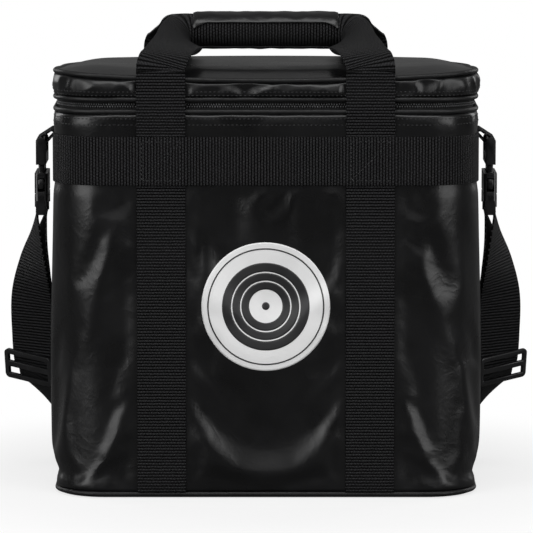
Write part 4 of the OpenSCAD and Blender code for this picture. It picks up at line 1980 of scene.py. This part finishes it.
@dataclass
class Studio:
    """A pale sweep, soft lamps and the camera at the photograph's place."""

    distance: float = 3.6
    height: float = 0.635
    pitch_down: float = 7.0
    pixels_per_mm: float = 1.225
    frame_px: int = 533
    side_step: float = 0.0006
    sensor: float = 36.0
    room_front: float = 0.02
    room_back: float = 0.16
    room_top: float = 0.16
    screen: float = 1.25
    front_screen: float = 0.4
    floor_lit: float = 0.16
    floor_seen: float = 0.86
    floor_glow: float = 0.74

    def build(self, case: Case) -> None:
        """Set the camera, the floor, the world and the lamps.

        Args:
            case: the case's sizes.
        """
        self._camera(case)
        self._floor()
        self._world()
        self._lamps()
        bpy.context.scene.view_settings.view_transform = "Standard"

    def _camera(self, case: Case) -> None:
        """Place the camera from the front face's scale in the picture.

        Args:
            case: the case's sizes.
        """
        data = bpy.data.cameras.new("camera")
        data.sensor_width = self.sensor
        data.lens = self.pixels_per_mm * self.distance * 1000 / self.frame_px * self.sensor
        data.clip_end = 50.0
        camera = bpy.data.objects.new("camera", data)
        bpy.context.collection.objects.link(camera)
        camera.location = (self.side_step, -case.plan.half_d - self.distance, self.height)
        camera.rotation_euler = (math.radians(90 - self.pitch_down), 0, 0)
        bpy.context.scene.camera = camera

    def _floor(self) -> None:
        """Lay a pale floor that shows white and keeps the shadow."""
        shape = bmesh.new()
        bmesh.ops.create_grid(shape, x_segments=1, y_segments=1, size=6.0)
        bmesh.ops.translate(shape, verts=shape.verts, vec=(0, 0, -0.0004))
        mesh = bpy.data.meshes.new("floor")
        shape.to_mesh(mesh)
        shape.free()
        floor = bpy.data.objects.new("floor", mesh)
        bpy.context.collection.objects.link(floor)
        material = bpy.data.materials.new("Pale floor")
        material.use_nodes = True
        material.node_tree.nodes.clear()
        s = Shader(material.node_tree)
        lit = s.add("ShaderNodeBsdfDiffuse")
        seen_by_camera = s.add("ShaderNodeLightPath").outputs["Is Camera Ray"]
        grey = s.tint(seen_by_camera, (self.floor_lit,) * 3, (self.floor_seen,) * 3)
        s.join(grey, lit.inputs["Color"])
        white = s.add("ShaderNodeEmission")
        reach = s.add("ShaderNodeVectorMath", operation="LENGTH")
        s.join(s.add("ShaderNodeTexCoord").outputs["Object"], reach.inputs[0])
        far = s.ramp(reach.outputs["Value"], 0.2, 0.42, self.floor_glow, 1.0)
        seen = s.maths("MULTIPLY", seen_by_camera, far)
        s.choose(seen, lit, white, s.add("ShaderNodeOutputMaterial"))
        mesh.materials.append(material)

    def _world(self) -> None:
        """Show white to the camera, and a room that is dark in front and pale behind to the object."""
        world = bpy.data.worlds.new("studio")
        bpy.context.scene.world = world
        world.use_nodes = True
        world.node_tree.nodes.clear()
        s = Shader(world.node_tree)
        white = s.add("ShaderNodeBackground")
        white.inputs["Color"].default_value = (1, 1, 1, 1)
        room = s.add("ShaderNodeBackground")
        room.inputs["Color"].default_value = (1, 1, 1, 1)
        way = s.add("ShaderNodeSeparateXYZ")
        s.join(s.add("ShaderNodeTexCoord").outputs["Generated"], way.inputs[0])
        behind = s.ramp(way.outputs["Y"], -0.75, 0.9, self.room_front, self.room_back)
        above = s.ramp(way.outputs["Z"], 0.1, 0.9, 0.0, self.room_top)
        aside = s.maths("ABSOLUTE", way.outputs["X"])
        screens = s.maths("MULTIPLY", s.ramp(aside, 0.26, 0.6), s.ramp(way.outputs["Y"], -0.1, -0.5))
        strength = s.ramp(way.outputs["X"], -0.5, 0.5, self.screen, self.screen * 0.75)
        screens = s.maths("MULTIPLY", screens, strength)
        raised = s.ramp(way.outputs["Z"], 0.14, 0.3, 0.0, self.front_screen)
        screens = s.maths("ADD", screens, s.maths("MULTIPLY", raised, s.ramp(way.outputs["Y"], -0.6, -0.85)))
        s.join(s.maths("ADD", s.maths("ADD", behind, above), screens), room.inputs["Strength"])
        seen_by_camera = s.add("ShaderNodeLightPath").outputs["Is Camera Ray"]
        s.choose(seen_by_camera, room, white, s.add("ShaderNodeOutputWorld"))

    def _lamps(self) -> None:
        """Hang a large soft lamp above and one at each side."""
        for name, place, size, power in (
                ("top_lamp", (0.0, -1.3, 2.5), (2.2, 1.2), 28.0),
                ("left_lamp", (-2.3, -2.0, 1.0), (1.8, 2.2), 26.0),
                ("right_lamp", (2.3, -2.0, 1.0), (1.8, 2.2), 21.5),
                ("rear_left_lamp", (-2.4, 2.0, 1.2), (1.0, 1.8), 18.0),
                ("rear_right_lamp", (2.4, 2.0, 1.2), (1.0, 1.8), 18.0)):
            data = bpy.data.lights.new(name, "AREA")
            data.shape = "RECTANGLE"
            data.size, data.size_y = size
            data.energy = power
            lamp = bpy.data.objects.new(name, data)
            bpy.context.collection.objects.link(lamp)
            lamp.location = place
            aim = Vector((0, 0, 0.2)) - Vector(place)
            lamp.rotation_euler = aim.to_track_quat("-Z", "Y").to_euler()


def main() -> None:
    """Build every piece in order."""
    logging.basicConfig(level=logging.INFO, format="%(name)s %(message)s")
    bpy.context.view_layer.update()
    case = Case.from_frame()
    Studio().build(case)
    dress("base_board", BOARD)
    SoftPanels(case).build()
    wall = Cover(case).build()
    Emblem(wall).build()
    Band(case).build()
    Lid(case).build(wall)
    Zip(case).build()
    Handles(case).build()
    ShoulderStrap(case).build()


if __name__ == "__main__":
    main()
